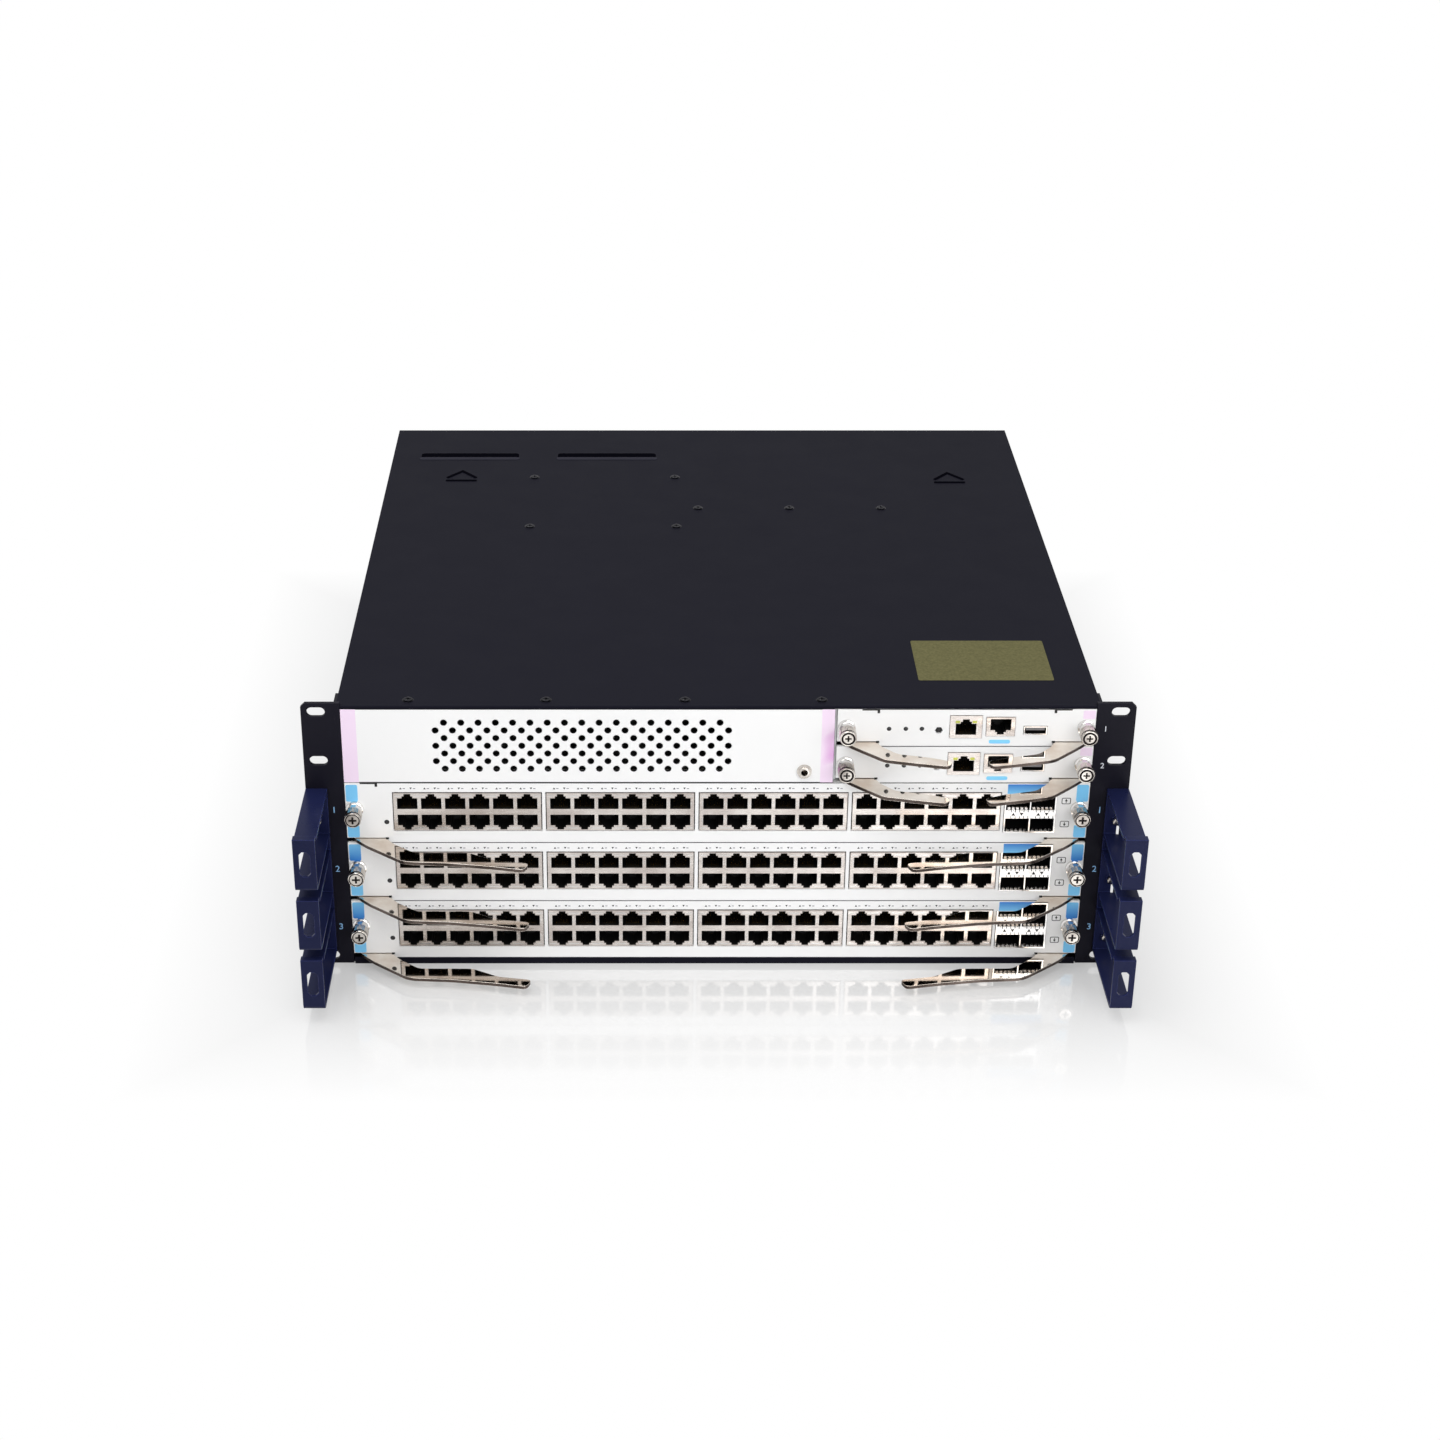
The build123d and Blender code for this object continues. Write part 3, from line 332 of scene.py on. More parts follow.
def add_tube(bm, path, radius, steps=6, closed=False):
    """A round wire along a list of points."""
    points = [Vector(p) for p in path]
    count = len(points)
    rings = []
    for i, point in enumerate(points):
        ahead = points[(i + 1) % count] if closed or i < count - 1 else point
        back = points[i - 1] if closed or i > 0 else point
        along = (ahead - back).normalized()
        side = along.orthogonal().normalized()
        if rings:
            side = (last_side - along * last_side.dot(along)).normalized()
        last_side = side
        up = along.cross(side)
        rings.append([bm.verts.new(point + radius * (math.cos(t) * side + math.sin(t) * up))
                      for t in (2 * math.pi * k / steps for k in range(steps))])
    pairs = list(zip(rings, rings[1:]))
    faces = []
    if closed:
        pairs.append((rings[-1], rings[0]))
    else:
        faces += [bm.faces.new(rings[0]), bm.faces.new(rings[-1])]
    for first, second in pairs:
        for k in range(steps):
            m = (k + 1) % steps
            faces.append(bm.faces.new((first[k], first[m], second[m], second[k])))
    settle_faces(bm, faces, 0, True)


def soften(bm, width, segments=1, sharpest=25.0):
    """Round every edge that turns more than the given angle."""
    limit = math.radians(sharpest)
    edges = [e for e in bm.edges if len(e.link_faces) == 2 and e.calc_face_angle() > limit]
    bmesh.ops.bevel(bm, geom=edges, offset=width, offset_type="OFFSET", segments=segments,
                    profile=0.5, affect="EDGES", clamp_overlap=True)


SHARP_TURN = math.radians(60)


def make_piece(name, bm, finishes, body, replaces=()):
    """Turn finished geometry into a named piece that rides on a body."""
    mesh = bpy.data.meshes.new(name)
    bmesh.ops.triangulate(bm, faces=[f for f in bm.faces if len(f.verts) > 4])
    bm.to_mesh(mesh)
    bm.free()
    for used in finishes:
        mesh.materials.append(finish(used))
    mesh.set_sharp_from_angle(angle=SHARP_TURN)
    piece = bpy.data.objects.new(name, mesh)
    bpy.context.scene.collection.objects.link(piece)
    shading = piece.modifiers.new("even shading", "WEIGHTED_NORMAL")
    shading.keep_sharp = True
    shading.weight = 100
    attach(piece, body)
    if replaces:
        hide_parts(*replaces)


def body_of_node(node):
    """The body that a node of the frame belongs to."""
    groups = frame["record"]["behaviour"]["bodies"]
    return next(body for body, members in groups.items() if node in members)


def soften_node(node, width, used, segments=1):
    """A copy of a node's own form with its edges rounded, shown in its place."""
    bm = bmesh.new()
    bm.from_mesh(frame["nodes"][node].data)
    bmesh.ops.remove_doubles(bm, verts=bm.verts, dist=1e-6)
    bmesh.ops.dissolve_limit(bm, angle_limit=math.radians(0.5), verts=bm.verts, edges=bm.edges)
    for face in bm.faces:
        face.material_index = 0
    soften(bm, width, segments)
    for face in bm.faces:
        face.smooth = True
    make_piece(f"{node}_sheet", bm, [used], body_of_node(node), (node,))


def dress_node(node, used):
    """Give a node of the frame its finish."""
    materials = frame["nodes"][node].data.materials
    materials.clear()
    materials.append(finish(used))


# Finishes


EVEN = (1.0, 1.0, 1.0)
ROLLED = (0.08, 1.0, 1.0)
TURNED = (1.0, 0.1, 1.0)
EDGE_RADIUS = 0.6 * MM
PAINT_CLOUDS = 9.0
PAINT_PATCHES = 40.0
METAL_CLOUDS = 60.0
PLASTIC_CLOUDS = 80.0
PLASTIC_GRAIN = 1500.0
PRINT_CLOUDS = 700.0
FIELD_CLOUDS = 34.0
FIELD_GRAIN = 1400.0
TRACK_SCALE = 260.0
DARK_PARTS = srgb(30, 30, 32)


def start_finish(name, colour, roughness, metallic=0.0):
    """A new material with its plain values set on the shader itself."""
    material = bpy.data.materials.new(name)
    material.use_nodes = True
    shader = material.node_tree.nodes["Principled BSDF"]
    shader.inputs["Base Color"].default_value = (*colour, 1.0)
    shader.inputs["Roughness"].default_value = roughness
    shader.inputs["Metallic"].default_value = metallic
    return material, shader


def new_node(material, kind, **values):
    """Add a shader node and set its inputs by name."""
    made = material.node_tree.nodes.new(kind)
    for key, value in values.items():
        made.inputs[key.replace("_", " ").title()].default_value = value
    return made


def add_noise(material, scale, detail=3.0, stretch=EVEN):
    """A cloudy pattern that is fixed to the piece."""
    link = material.node_tree.links.new
    place = new_node(material, "ShaderNodeTexCoord")
    mapping = new_node(material, "ShaderNodeMapping", scale=stretch)
    noise = new_node(material, "ShaderNodeTexNoise", scale=scale, detail=detail)
    link(place.outputs["Object"], mapping.inputs["Vector"])
    link(mapping.outputs["Vector"], noise.inputs["Vector"])
    return noise.outputs[0]


def split_place(material, kind):
    """The X, Y and Z of a place, in lengths on the object or in shares of its box."""
    place = new_node(material, "ShaderNodeTexCoord")
    split = new_node(material, "ShaderNodeSeparateXYZ")
    material.node_tree.links.new(place.outputs[kind], split.inputs["Vector"])
    return split.outputs


def add_range(material, factor, low, high, start=0.3, end=0.7):
    """Spread a factor between two values."""
    spread = new_node(material, "ShaderNodeMapRange", from_min=start, from_max=end,
                      to_min=low, to_max=high)
    material.node_tree.links.new(factor, spread.inputs["Value"])
    return spread.outputs["Result"]


def add_ramp(material, factor, stops):
    """Colours along a factor, given as places and linear colours."""
    ramp = new_node(material, "ShaderNodeValToRGB")
    elements = ramp.color_ramp.elements
    while len(elements) < len(stops):
        elements.new(0.5)
    for element, (place, colour) in zip(elements, stops):
        element.position = place
        element.color = (*colour, 1.0)
    material.node_tree.links.new(factor, ramp.inputs["Fac"])
    return ramp.outputs["Color"]


def add_clouds(material, factor, dark, light):
    """Two tones that go over into each other along a cloudy factor."""
    return add_ramp(material, factor, [(0.35, dark), (0.65, light)])


def add_edge_mask(material, start=0.03, end=0.3):
    """Near 1 where the surface turns over an edge, and 0 on open ground."""
    link = material.node_tree.links.new
    bevel = new_node(material, "ShaderNodeBevel", radius=EDGE_RADIUS)
    bevel.samples = 4
    ground = new_node(material, "ShaderNodeNewGeometry")
    compare = new_node(material, "ShaderNodeVectorMath")
    compare.operation = "DOT_PRODUCT"
    link(bevel.outputs["Normal"], compare.inputs[0])
    link(ground.outputs["Normal"], compare.inputs[1])
    return add_range(material, compare.outputs["Value"], 1.0, 0.0, 1.0 - end, 1.0 - start)


def mix_colours(material, factor, first, second):
    """Blend two colours, each a socket or a linear colour."""
    mix = material.node_tree.nodes.new("ShaderNodeMix")
    mix.data_type = "RGBA"
    link = material.node_tree.links.new
    link(factor, mix.inputs["Factor"])
    for value, place in ((first, mix.inputs[6]), (second, mix.inputs[7])):
        if isinstance(value, bpy.types.NodeSocket):
            link(value, place)
        else:
            place.default_value = (*value, 1.0)
    return mix.outputs[2]


def add_bump(material, factor, strength, height):
    """Raise and sink the surface a little by a factor."""
    link = material.node_tree.links.new
    bump = new_node(material, "ShaderNodeBump", strength=strength, distance=height)
    link(factor, bump.inputs["Height"])
    shader = material.node_tree.nodes["Principled BSDF"]
    link(bump.outputs["Normal"], shader.inputs["Normal"])


def scaled(colour, share):
    """A lighter or darker form of a colour."""
    return tuple(min(1.0, level * share) for level in colour)


def make_paint(name, colour, roughness, grain, spread, edge=None, specular=0.5, patchy=0.12):
    """Paint or powder coat: a fine grain, slight clouds and an edge colour of painted light: a
    painted highlight, partly wear, on dark coats, and painted shade on white paint.
    """
    material, shader = start_finish(name, colour, roughness)
    link = material.node_tree.links.new
    shader.inputs["Specular IOR Level"].default_value = specular
    ground = add_clouds(material, add_noise(material, PAINT_CLOUDS, 4.0),
                        scaled(colour, 1 - spread), scaled(colour, 1 + spread))
    # The edge colour is painted light along rounded edges: lighter as a painted highlight that
    # is partly wear, darker as painted shade on white paint.
    if edge:
        ground = mix_colours(material, add_edge_mask(material), ground, edge)
    link(ground, shader.inputs["Base Color"])
    patches = add_noise(material, PAINT_PATCHES)
    link(add_range(material, patches, roughness * (1 - patchy), roughness * (1 + patchy)),
         shader.inputs["Roughness"])
    add_bump(material, add_noise(material, grain, 2.0), 0.25, 0.04 * MM)
    return material


def make_metal(name, colour, roughness, stretch=EVEN, grain=900.0, warm=None):
    """Bare or plated metal: rolled grain, patchy gloss and a faint tint."""
    material, shader = start_finish(name, colour, roughness, 1.0)
    link = material.node_tree.links.new
    link(add_clouds(material, add_noise(material, METAL_CLOUDS, 4.0),
                    warm or scaled(colour, 0.86), colour), shader.inputs["Base Color"])
    streaks = add_noise(material, grain, stretch=stretch)
    link(add_range(material, streaks, roughness * 0.7, roughness * 1.35),
         shader.inputs["Roughness"])
    add_bump(material, streaks, 0.12, 0.02 * MM)
    return material


def make_plastic(name, colour, roughness):
    """Moulded plastic with a fine spark-eroded grain."""
    material, shader = start_finish(name, colour, roughness)
    link = material.node_tree.links.new
    clouds = add_noise(material, PLASTIC_CLOUDS)
    link(add_clouds(material, clouds, scaled(colour, 0.8), scaled(colour, 1.2)),
         shader.inputs["Base Color"])
    link(add_range(material, clouds, roughness * 0.85, roughness * 1.15),
         shader.inputs["Roughness"])
    add_bump(material, add_noise(material, PLASTIC_GRAIN, 2.0), 0.2, 0.02 * MM)
    return material


def make_print(name, colour, roughness=0.45):
    """Printed ink, a little uneven where it is thin."""
    material, shader = start_finish(name, colour, roughness)
    shader.inputs["Specular IOR Level"].default_value = 0.06
    link = material.node_tree.links.new
    clouds = add_noise(material, PRINT_CLOUDS, 2.0)
    link(add_ramp(material, clouds, [(0.3, scaled(colour, 0.82)), (0.7, scaled(colour, 1.15))]),
         shader.inputs["Base Color"])
    return material


def make_gradient(name, low, high, clouds=None):
    """A printed field that goes from one colour at its foot to another at its top."""
    material, shader = start_finish(name, low, 0.42)
    rise = split_place(material, "Generated")["Z"]
    ground = add_ramp(material, rise, [(0.0, low), (1.0, high)])
    if clouds:
        drift = add_range(material, add_noise(material, FIELD_CLOUDS, 2.0), 0.0, 1.0, 0.52, 0.68)
        ground = mix_colours(material, drift, ground, clouds)
    material.node_tree.links.new(ground, shader.inputs["Base Color"])
    add_bump(material, add_noise(material, FIELD_GRAIN, 2.0), 0.15, 0.02 * MM)
    return material


def make_board(name, mask, metal, dark, flat):
    """A circuit board: lacquer up to a share of its height, dark parts and bare fins above."""
    material, shader = start_finish(name, mask, 0.35)
    link = material.node_tree.links.new
    rise = split_place(material, "Generated")["Z"]
    place = new_node(material, "ShaderNodeTexCoord")
    tracks = new_node(material, "ShaderNodeTexVoronoi", scale=TRACK_SCALE)
    link(place.outputs["Object"], tracks.inputs["Vector"])
    lacquer = add_ramp(material, tracks.outputs["Distance"],
                       [(0.12, scaled(mask, 1.5)), (0.3, scaled(mask, 0.85))])
    above = add_range(material, rise, 0.0, 1.0, flat - 0.01, flat)
    fins = add_range(material, rise, 0.0, 1.0, 0.68, 0.7)
    parts = mix_colours(material, fins, dark, metal)
    link(mix_colours(material, above, lacquer, parts), shader.inputs["Base Color"])
    add_bump(material, tracks.outputs["Distance"], 0.2, 0.05 * MM)
    return material


def add_math(material, operation, first, second):
    """Work out one value from two, each a socket or a number."""
    made = material.node_tree.nodes.new("ShaderNodeMath")
    made.operation = operation
    for value, place in ((first, made.inputs[0]), (second, made.inputs[1])):
        if isinstance(value, bpy.types.NodeSocket):
            material.node_tree.links.new(value, place)
        else:
            place.default_value = value
    return made.outputs["Value"]


def mix_shaders(material, factor, first, second):
    """Blend two shaders by a socket or a number."""
    mix = new_node(material, "ShaderNodeMixShader")
    link = material.node_tree.links.new
    if isinstance(factor, bpy.types.NodeSocket):
        link(factor, mix.inputs["Fac"])
    else:
        mix.inputs["Fac"].default_value = factor
    link(first.outputs[0], mix.inputs[1])
    link(second.outputs[0], mix.inputs[2])
    return mix


FLOOR_TONE = (0.78, 0.78, 0.78)
FLOOR_FADE = (-0.03, 0.1)
FLOOR_PATCHES = 3.0
POLISH_ROUGHNESS = 0.07
POLISH_SHARE = 0.28


def make_floor(name):
    """A pale glossy floor that keeps the shadow and goes over to plain white further out."""
    material, shader = start_finish(name, FLOOR_TONE, 0.12)
    link = material.node_tree.links.new
    place = split_place(material, "Object")
    half = (cad_high - cad_low) / 2
    beyond = [add_math(material, "SUBTRACT", add_math(material, "ABSOLUTE", place[axis], 0.0),
                       reach) for axis, reach in (("X", half.x), ("Y", half.y))]
    away = add_math(material, "MAXIMUM", *beyond)
    share = bpy.context.scene.chassis_stage.floor_glow
    fade = add_range(material, away, share, 1.0, *FLOOR_FADE)
    path = new_node(material, "ShaderNodeLightPath")
    seen = add_math(material, "MULTIPLY", path.outputs["Is Camera Ray"], fade)
    gloss = new_node(material, "ShaderNodeBsdfGlossy", roughness=POLISH_ROUGHNESS)
    polished = mix_shaders(material, POLISH_SHARE, shader, gloss)
    glow = new_node(material, "ShaderNodeEmission")
    mix = mix_shaders(material, seen, polished, glow)
    link(mix.outputs[0], material.node_tree.nodes["Material Output"].inputs["Surface"])
    link(add_range(material, add_noise(material, FLOOR_PATCHES), 0.1, 0.16),
         shader.inputs["Roughness"])
    return material


def finish_table():
    """How each finish is made, by its name."""
    c = colours()
    return {
        # The edge colours are painted light: the lighter edges of the coats and the navy paint
        # are a painted highlight, partly wear.
        "case_coat": lambda n: make_paint(n, c.coat, roughness=0.55, grain=1100.0, spread=0.02,
                                          edge=scaled(c.coat, 1.9), specular=0.04,
                                          patchy=0.03),
        # The case coat made darker as painted shade for groove beds and pressed marks, and
        # lighter as a painted highlight for groove lips.
        "painted_shade_coat": lambda n: make_paint(n, scaled(c.coat, 0.3), roughness=0.7, grain=1100.0,
                                           spread=0.02, specular=0.0, patchy=0.03),
        "painted_highlight_coat": lambda n: make_paint(n, scaled(c.coat, 1.8), roughness=0.5, grain=1100.0,
                                         spread=0.04, specular=0.06, patchy=0.03),
        "ear_coat": lambda n: make_paint(n, c.ear_coat, roughness=0.42, grain=1100.0,
                                         spread=0.06, edge=scaled(c.ear_coat, 2.6),
                                         specular=0.12),
        "navy_paint": lambda n: make_paint(n, c.navy, roughness=0.3, grain=700.0, spread=0.12,
                                           edge=scaled(c.navy, 6.0), specular=0.13),
        # Darker edges on the white paint: painted shade along its rounded edges.
        "white_paint": lambda n: make_paint(n, c.white, roughness=0.38, grain=900.0,
                                            spread=0.015, edge=srgb(206, 206, 208)),
        "tin_shield": lambda n: make_metal(n, c.tin, 0.26, ROLLED, 700.0, srgb(206, 196, 190)),
        "bright_tin": lambda n: make_metal(n, srgb(236, 234, 232), 0.2, ROLLED),
        "mirror_nickel": lambda n: make_metal(n, c.nickel, 0.06, ROLLED, 500.0,
                                              srgb(214, 200, 186)),
        "sheared_edge": lambda n: make_metal(n, srgb(112, 100, 94), 0.24, ROLLED, 500.0,
                                             srgb(64, 56, 52)),
        "screw_nickel": lambda n: make_metal(n, c.nickel, 0.16, TURNED, 600.0,
                                             srgb(160, 152, 146)),
        # Dark metal as painted shade in the recesses of the captive screw heads.
        "recess_painted_shade": lambda n: make_metal(n, srgb(46, 42, 42), 0.3),
        "bare_zinc": lambda n: make_metal(n, c.zinc, 0.38, ROLLED, 500.0, srgb(160, 166, 172)),
        "dark_screw": lambda n: make_metal(n, srgb(38, 38, 45), 0.36),
        "gold_contact": lambda n: make_metal(n, c.gold, 0.22),
        # Near-black plastic as painted shade: dark lines in the gaps around the fronts, at notch
        # ends and lever ends, and inside the vents.
        "painted_shade_black": lambda n: make_plastic(n, srgb(18, 17, 20), 0.6),
        "black_plastic": lambda n: make_plastic(n, c.black, 0.42),
        "deep_black": lambda n: make_plastic(n, srgb(12, 11, 12), 0.5),
        "grey_plastic": lambda n: make_plastic(n, srgb(128, 126, 128), 0.4),
        "led_amber": lambda n: make_plastic(n, srgb(196, 200, 84), 0.3),
        "lens_dark": lambda n: make_plastic(n, srgb(44, 44, 46), 0.2),
        "ink": lambda n: make_print(n, c.ink),
        "pale_ink": lambda n: make_print(n, srgb(140, 142, 148)),
        "numeral_ink": lambda n: make_print(n, c.numeral),
        "white_ink": lambda n: make_print(n, srgb(220, 224, 232)),
        "label_sheet": lambda n: make_print(n, c.label, 0.6),
        "pill_blue": lambda n: make_gradient(n, c.sky, scaled(c.sky, 1.15)),
        "sky_band": lambda n: make_gradient(n, c.sky, scaled(c.sky, 0.94)),
        "azure_band": lambda n: make_gradient(n, c.azure, scaled(c.sky, 0.92)),
        "field_blue": lambda n: make_gradient(n, c.sky, c.azure),
        "pink_band": lambda n: make_gradient(n, c.pink, c.pink),
        "pink_cloud": lambda n: make_gradient(n, c.pink, c.pink, c.magenta),
        "board": lambda n: make_board(n, c.mask, c.zinc, DARK_PARTS, 0.1),
        "low_board": lambda n: make_board(n, c.mask, c.zinc, DARK_PARTS, 0.18),
        "bare_board": lambda n: make_board(n, c.mask, c.zinc, c.mask, 2.0),
        "floor": make_floor,
    }


def finish(name):
    """The finish of that name, made when a piece first asks for it."""
    return bpy.data.materials.get(name) or finish_table()[name](name)


# Case


CASE_SHEETS = (("top_cover", 0.35 * MM, 2), ("chassis_tub", 0.3 * MM, 1),
               ("rear_panel", 0.2 * MM, 1))


def build_case():
    """The folded sheets of the case, with softened edges."""
    for node, edge, segments in CASE_SHEETS:
        soften_node(node, edge, "case_coat", segments)
    for node in ("bay_dividers", "board_guides"):
        dress_node(node, "bare_zinc")
    for node in ("backplane", "power_board"):
        dress_node(node, "bare_board")


COVER_SCREW_RADIUS = 2.8 * MM
COVER_SCREW_SPACING = 8 * MM
COVER_WASHER = 1.25 * COVER_SCREW_RADIUS
CROSS_REACH = 0.62 * COVER_SCREW_RADIUS
CROSS_WIDTH = 0.16 * COVER_SCREW_RADIUS


def cross_outline(x, z, reach, width):
    """The outline of a cross slot."""
    quarter = [(width, width), (width, reach), (-width, reach)]
    points = []
    for turn in range(4):
        c = (1, 0, -1, 0)[turn]
        s = (0, 1, 0, -1)[turn]
        points += [(x + a * c - b * s, z + a * s + b * c) for a, b in quarter]
    return points


def build_cover_screws():
    """Low pan heads with a cross slot, in place of the plain heads."""
    bm = bmesh.new()
    low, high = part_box("cover_screws")
    centres = []
    for vertex in frame["nodes"]["cover_screws"].data.vertices:
        spot = Vector((vertex.co.x, vertex.co.y))
        if all((spot - known).length > COVER_SCREW_SPACING for known, _ in centres):
            centres.append((spot, []))
        for known, members in centres:
            if (spot - known).length <= COVER_SCREW_SPACING:
                members.append(spot)
    for _, members in centres:
        x, y = sum(members, Vector((0, 0))) / len(members)
        add_slab(bm, circle(x, y, COVER_SCREW_RADIUS, 20),
                 (cross_outline(x, y, CROSS_REACH, CROSS_WIDTH),), low.z + 0.1 * MM, high.z)
        add_slab(bm, circle(x, y, COVER_WASHER, 20), (), low.z, low.z + 0.12 * MM)
    soften(bm, 0.12 * MM)
    make_piece("cover_screw_heads", bm, ["dark_screw"], "chassis",
               ("cover_screws",))


MARKS_AT = places((-169.8, 348.5), (169.9, 345.0))
MARK_HALF = 10.8 * MM
MARK_FOOT = 6.6 * MM
MARK_CREST = 20.0 * MM
MARK_STROKE = 2.9 * MM
MARK_BAR = lengths(-0.6, 1.8)
LABEL_X = lengths(118.6, 198.4)
LABEL_DEPTHS = lengths(33.6, 88.0)
BEAD_SUNK = lengths(0.3, 0.9)
BEAD_GAP = 5 * MM
BEAD_LENGTH = 80 * MM
BEAD_HALF = 6.4 * MM
BEAD_SPLIT = 1.3 * MM
BEAD_ROOT = 0.3 * MM


def bead_spans():
    """The ends along X and the middle along Y of the grooves pressed into the cover."""
    cover_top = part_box("top_cover")[1].z
    spans = []
    for vertex in sorted(frame["nodes"]["top_cover"].data.vertices, key=lambda v: v.co.x):
        sunk = cover_top - vertex.co.z
        if BEAD_SUNK[0] < sunk < BEAD_SUNK[1]:
            place = vertex.co.copy()
            near = spans and place.x - spans[-1][-1].x < BEAD_GAP
            within = spans and len(spans[-1]) > 3 and place.x - spans[-1][0].x < BEAD_LENGTH
            if near or within:
                spans[-1].append(place)
            else:
                spans.append([place])
    return [(min(p.x for p in span), max(p.x for p in span),
             sum(p.y for p in span) / len(span)) for span in spans]


def build_cover_beads():
    """Painted shade on the bed and a painted highlight on the raised near lip of each pressed
    groove.
    """
    cover_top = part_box("top_cover")[1].z
    bm = bmesh.new()
    for left, right, middle in bead_spans():
        # The bed is a dark sheet of painted shade; the lip is a lighter sheet of painted
        # highlight.
        bed = rectangle(left, right, middle - BEAD_SPLIT + 0.1 * MM, middle + BEAD_HALF)
        add_slab(bm, fillet(bed, 3.0 * MM, 5), (), cover_top - BEAD_ROOT,
                 cover_top + 0.06 * MM)
        lip = rectangle(left - 1.0 * MM, right + 1.0 * MM, middle - BEAD_HALF,
                        middle - BEAD_SPLIT)
        add_slab(bm, fillet(lip, 2.6 * MM, 5), (), cover_top - BEAD_ROOT,
                 cover_top + 0.16 * MM, 1)
    soften(bm, 0.12 * MM, 2)
    make_piece("cover_beads_shade_and_highlight", bm, ["painted_shade_coat", "painted_highlight_coat"], "chassis")


def build_cover_marks():
    """The two pressed peaks over their base lines, dark with painted shade, and the plain label
    plate.
    """
    cover_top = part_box("top_cover")[1].z
    limits = (cover_top - 0.05 * MM, cover_top + 0.35 * MM)
    bm = bmesh.new()
    for x, depth in MARKS_AT:
        base = behind(depth)
        foot = base + MARK_FOOT
        crest = base + MARK_CREST
        inner_half = MARK_HALF - MARK_STROKE * 0.5
        inner_foot = foot - MARK_STROKE * 0.6
        peak = [(x - MARK_HALF, foot), (x, crest), (x + MARK_HALF, foot),
                (x + inner_half, inner_foot), (x, crest - MARK_STROKE * 1.3),
                (x - inner_half, inner_foot)]
        add_slab(bm, peak, (), *limits)
        bar = rectangle(x - MARK_HALF, x + MARK_HALF, base + MARK_BAR[0], base + MARK_BAR[1])
        add_slab(bm, fillet(bar, 0.7 * MM, 3), (), *limits)
    soften(bm, 0.25 * MM, 2)
    # The raised peaks and bars take the dark coat as painted shade of the pressed lines.
    make_piece("cover_pressed_marks", bm, ["painted_shade_coat"], "chassis")
    bm = bmesh.new()
    sheet = rectangle(*LABEL_X, *(behind(depth) for depth in LABEL_DEPTHS))
    add_slab(bm, fillet(sheet, 1.5 * MM), (), cover_top, cover_top + 0.12 * MM)
    make_piece("cover_label", bm, ["label_sheet"], "chassis")


# Ears and brackets


def add_numeral(bm, text, x, z, height, slot=0):
    """A raised numeral on the front plane."""
    curve = bpy.data.curves.new("numeral", "FONT")
    curve.body = text
    curve.size = height * 1.4
    curve.extrude = 0.04 * MM
    curve.align_x = "CENTER"
    curve.align_y = "CENTER"
    shown = bpy.data.objects.new("numeral", curve)
    bpy.context.scene.collection.objects.link(shown)
    bpy.context.view_layer.update()
    mesh = bpy.data.meshes.new_from_object(shown)
    turn = Matrix.Rotation(math.radians(90), 4, "X")
    mesh.transform(Matrix.Translation((x, FRONT - 0.05 * MM, z)) @ turn)
    before = len(bm.faces)
    bm.from_mesh(mesh)
    bm.faces.ensure_lookup_table()
    for face in bm.faces[before:]:
        face.material_index = slot
    bpy.data.objects.remove(shown)
    bpy.data.curves.remove(curve)
    bpy.data.meshes.remove(mesh)


EAR_SCREW_HEIGHTS = lengths(16, 58, 112, 158)
EAR_SCREW_DEPTH = 12 * MM
EAR_SHEET = 2.0 * MM
CARD_NUMERAL = lengths(225.3, 21.6, 4.2)
SUPERVISOR_NUMERAL = lengths(224.4, -1.0, 3.6)
LUG_SCREW_X = 235.0 * MM
LUG_RISE = 11.4 * MM
LUG_PITCH = 40.0 * MM
LUG_SCREW = places((-5.6, 0.0), (-5.6, 1.6), (-5.2, 2.3), (-3.9, 2.4), (-3.9, 0.0))


def build_ears():
    """The rack ears with their slot numerals and the screws in their side flanges."""
    for side, sign in (("left", -1), ("right", 1)):
        node = f"rack_ear_{side}"
        soften_node(node, 0.35 * MM, "ear_coat", 2)
        flange_x = sign * (abs(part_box("chassis_tub")[0].x) + EAR_SHEET)
        y = behind(EAR_SCREW_DEPTH)
        bm = bmesh.new()
        for height in EAR_SCREW_HEIGHTS:
            add_wall(bm, circle(y, height, 2.6 * MM, 20),
                     (cross_outline(y, height, 1.5 * MM, 0.4 * MM),),
                     flange_x, flange_x + sign * 0.8 * MM)
        soften(bm, 0.15 * MM)
        make_piece(f"{node}_screws", bm, ["dark_screw"], "chassis")
        bm = bmesh.new()
        x, rise, height = CARD_NUMERAL
        for card in CARDS:
            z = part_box(f"{card}_faceplate")[0].z + rise
            add_numeral(bm, card[-1], sign * x, z, height)
        if sign > 0:
            x, rise, height = SUPERVISOR_NUMERAL
            for supervisor in SUPERVISORS:
                z = centre_of(f"{supervisor}_faceplate")[1] + rise
                add_numeral(bm, supervisor[-1], x, z, height, 1)
        make_piece(f"{node}_numerals", bm, ["numeral_ink", "white_ink"], "chassis")


def build_brackets():
    """The cable brackets with softened strip edges and a screw in each lug."""
    for side, sign in (("left", -1), ("right", 1)):
        node = f"cable_bracket_{side}"
        soften_node(node, 0.4 * MM, "navy_paint", 2)
        bm = bmesh.new()
        for loop in range(3):
            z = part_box(node)[0].z + LUG_RISE + loop * LUG_PITCH
            add_lathe(bm, LUG_SCREW, sign * LUG_SCREW_X, z, 0, 20)
        make_piece(f"{node}_screws", bm, ["screw_nickel"], "chassis")


# Vent panel


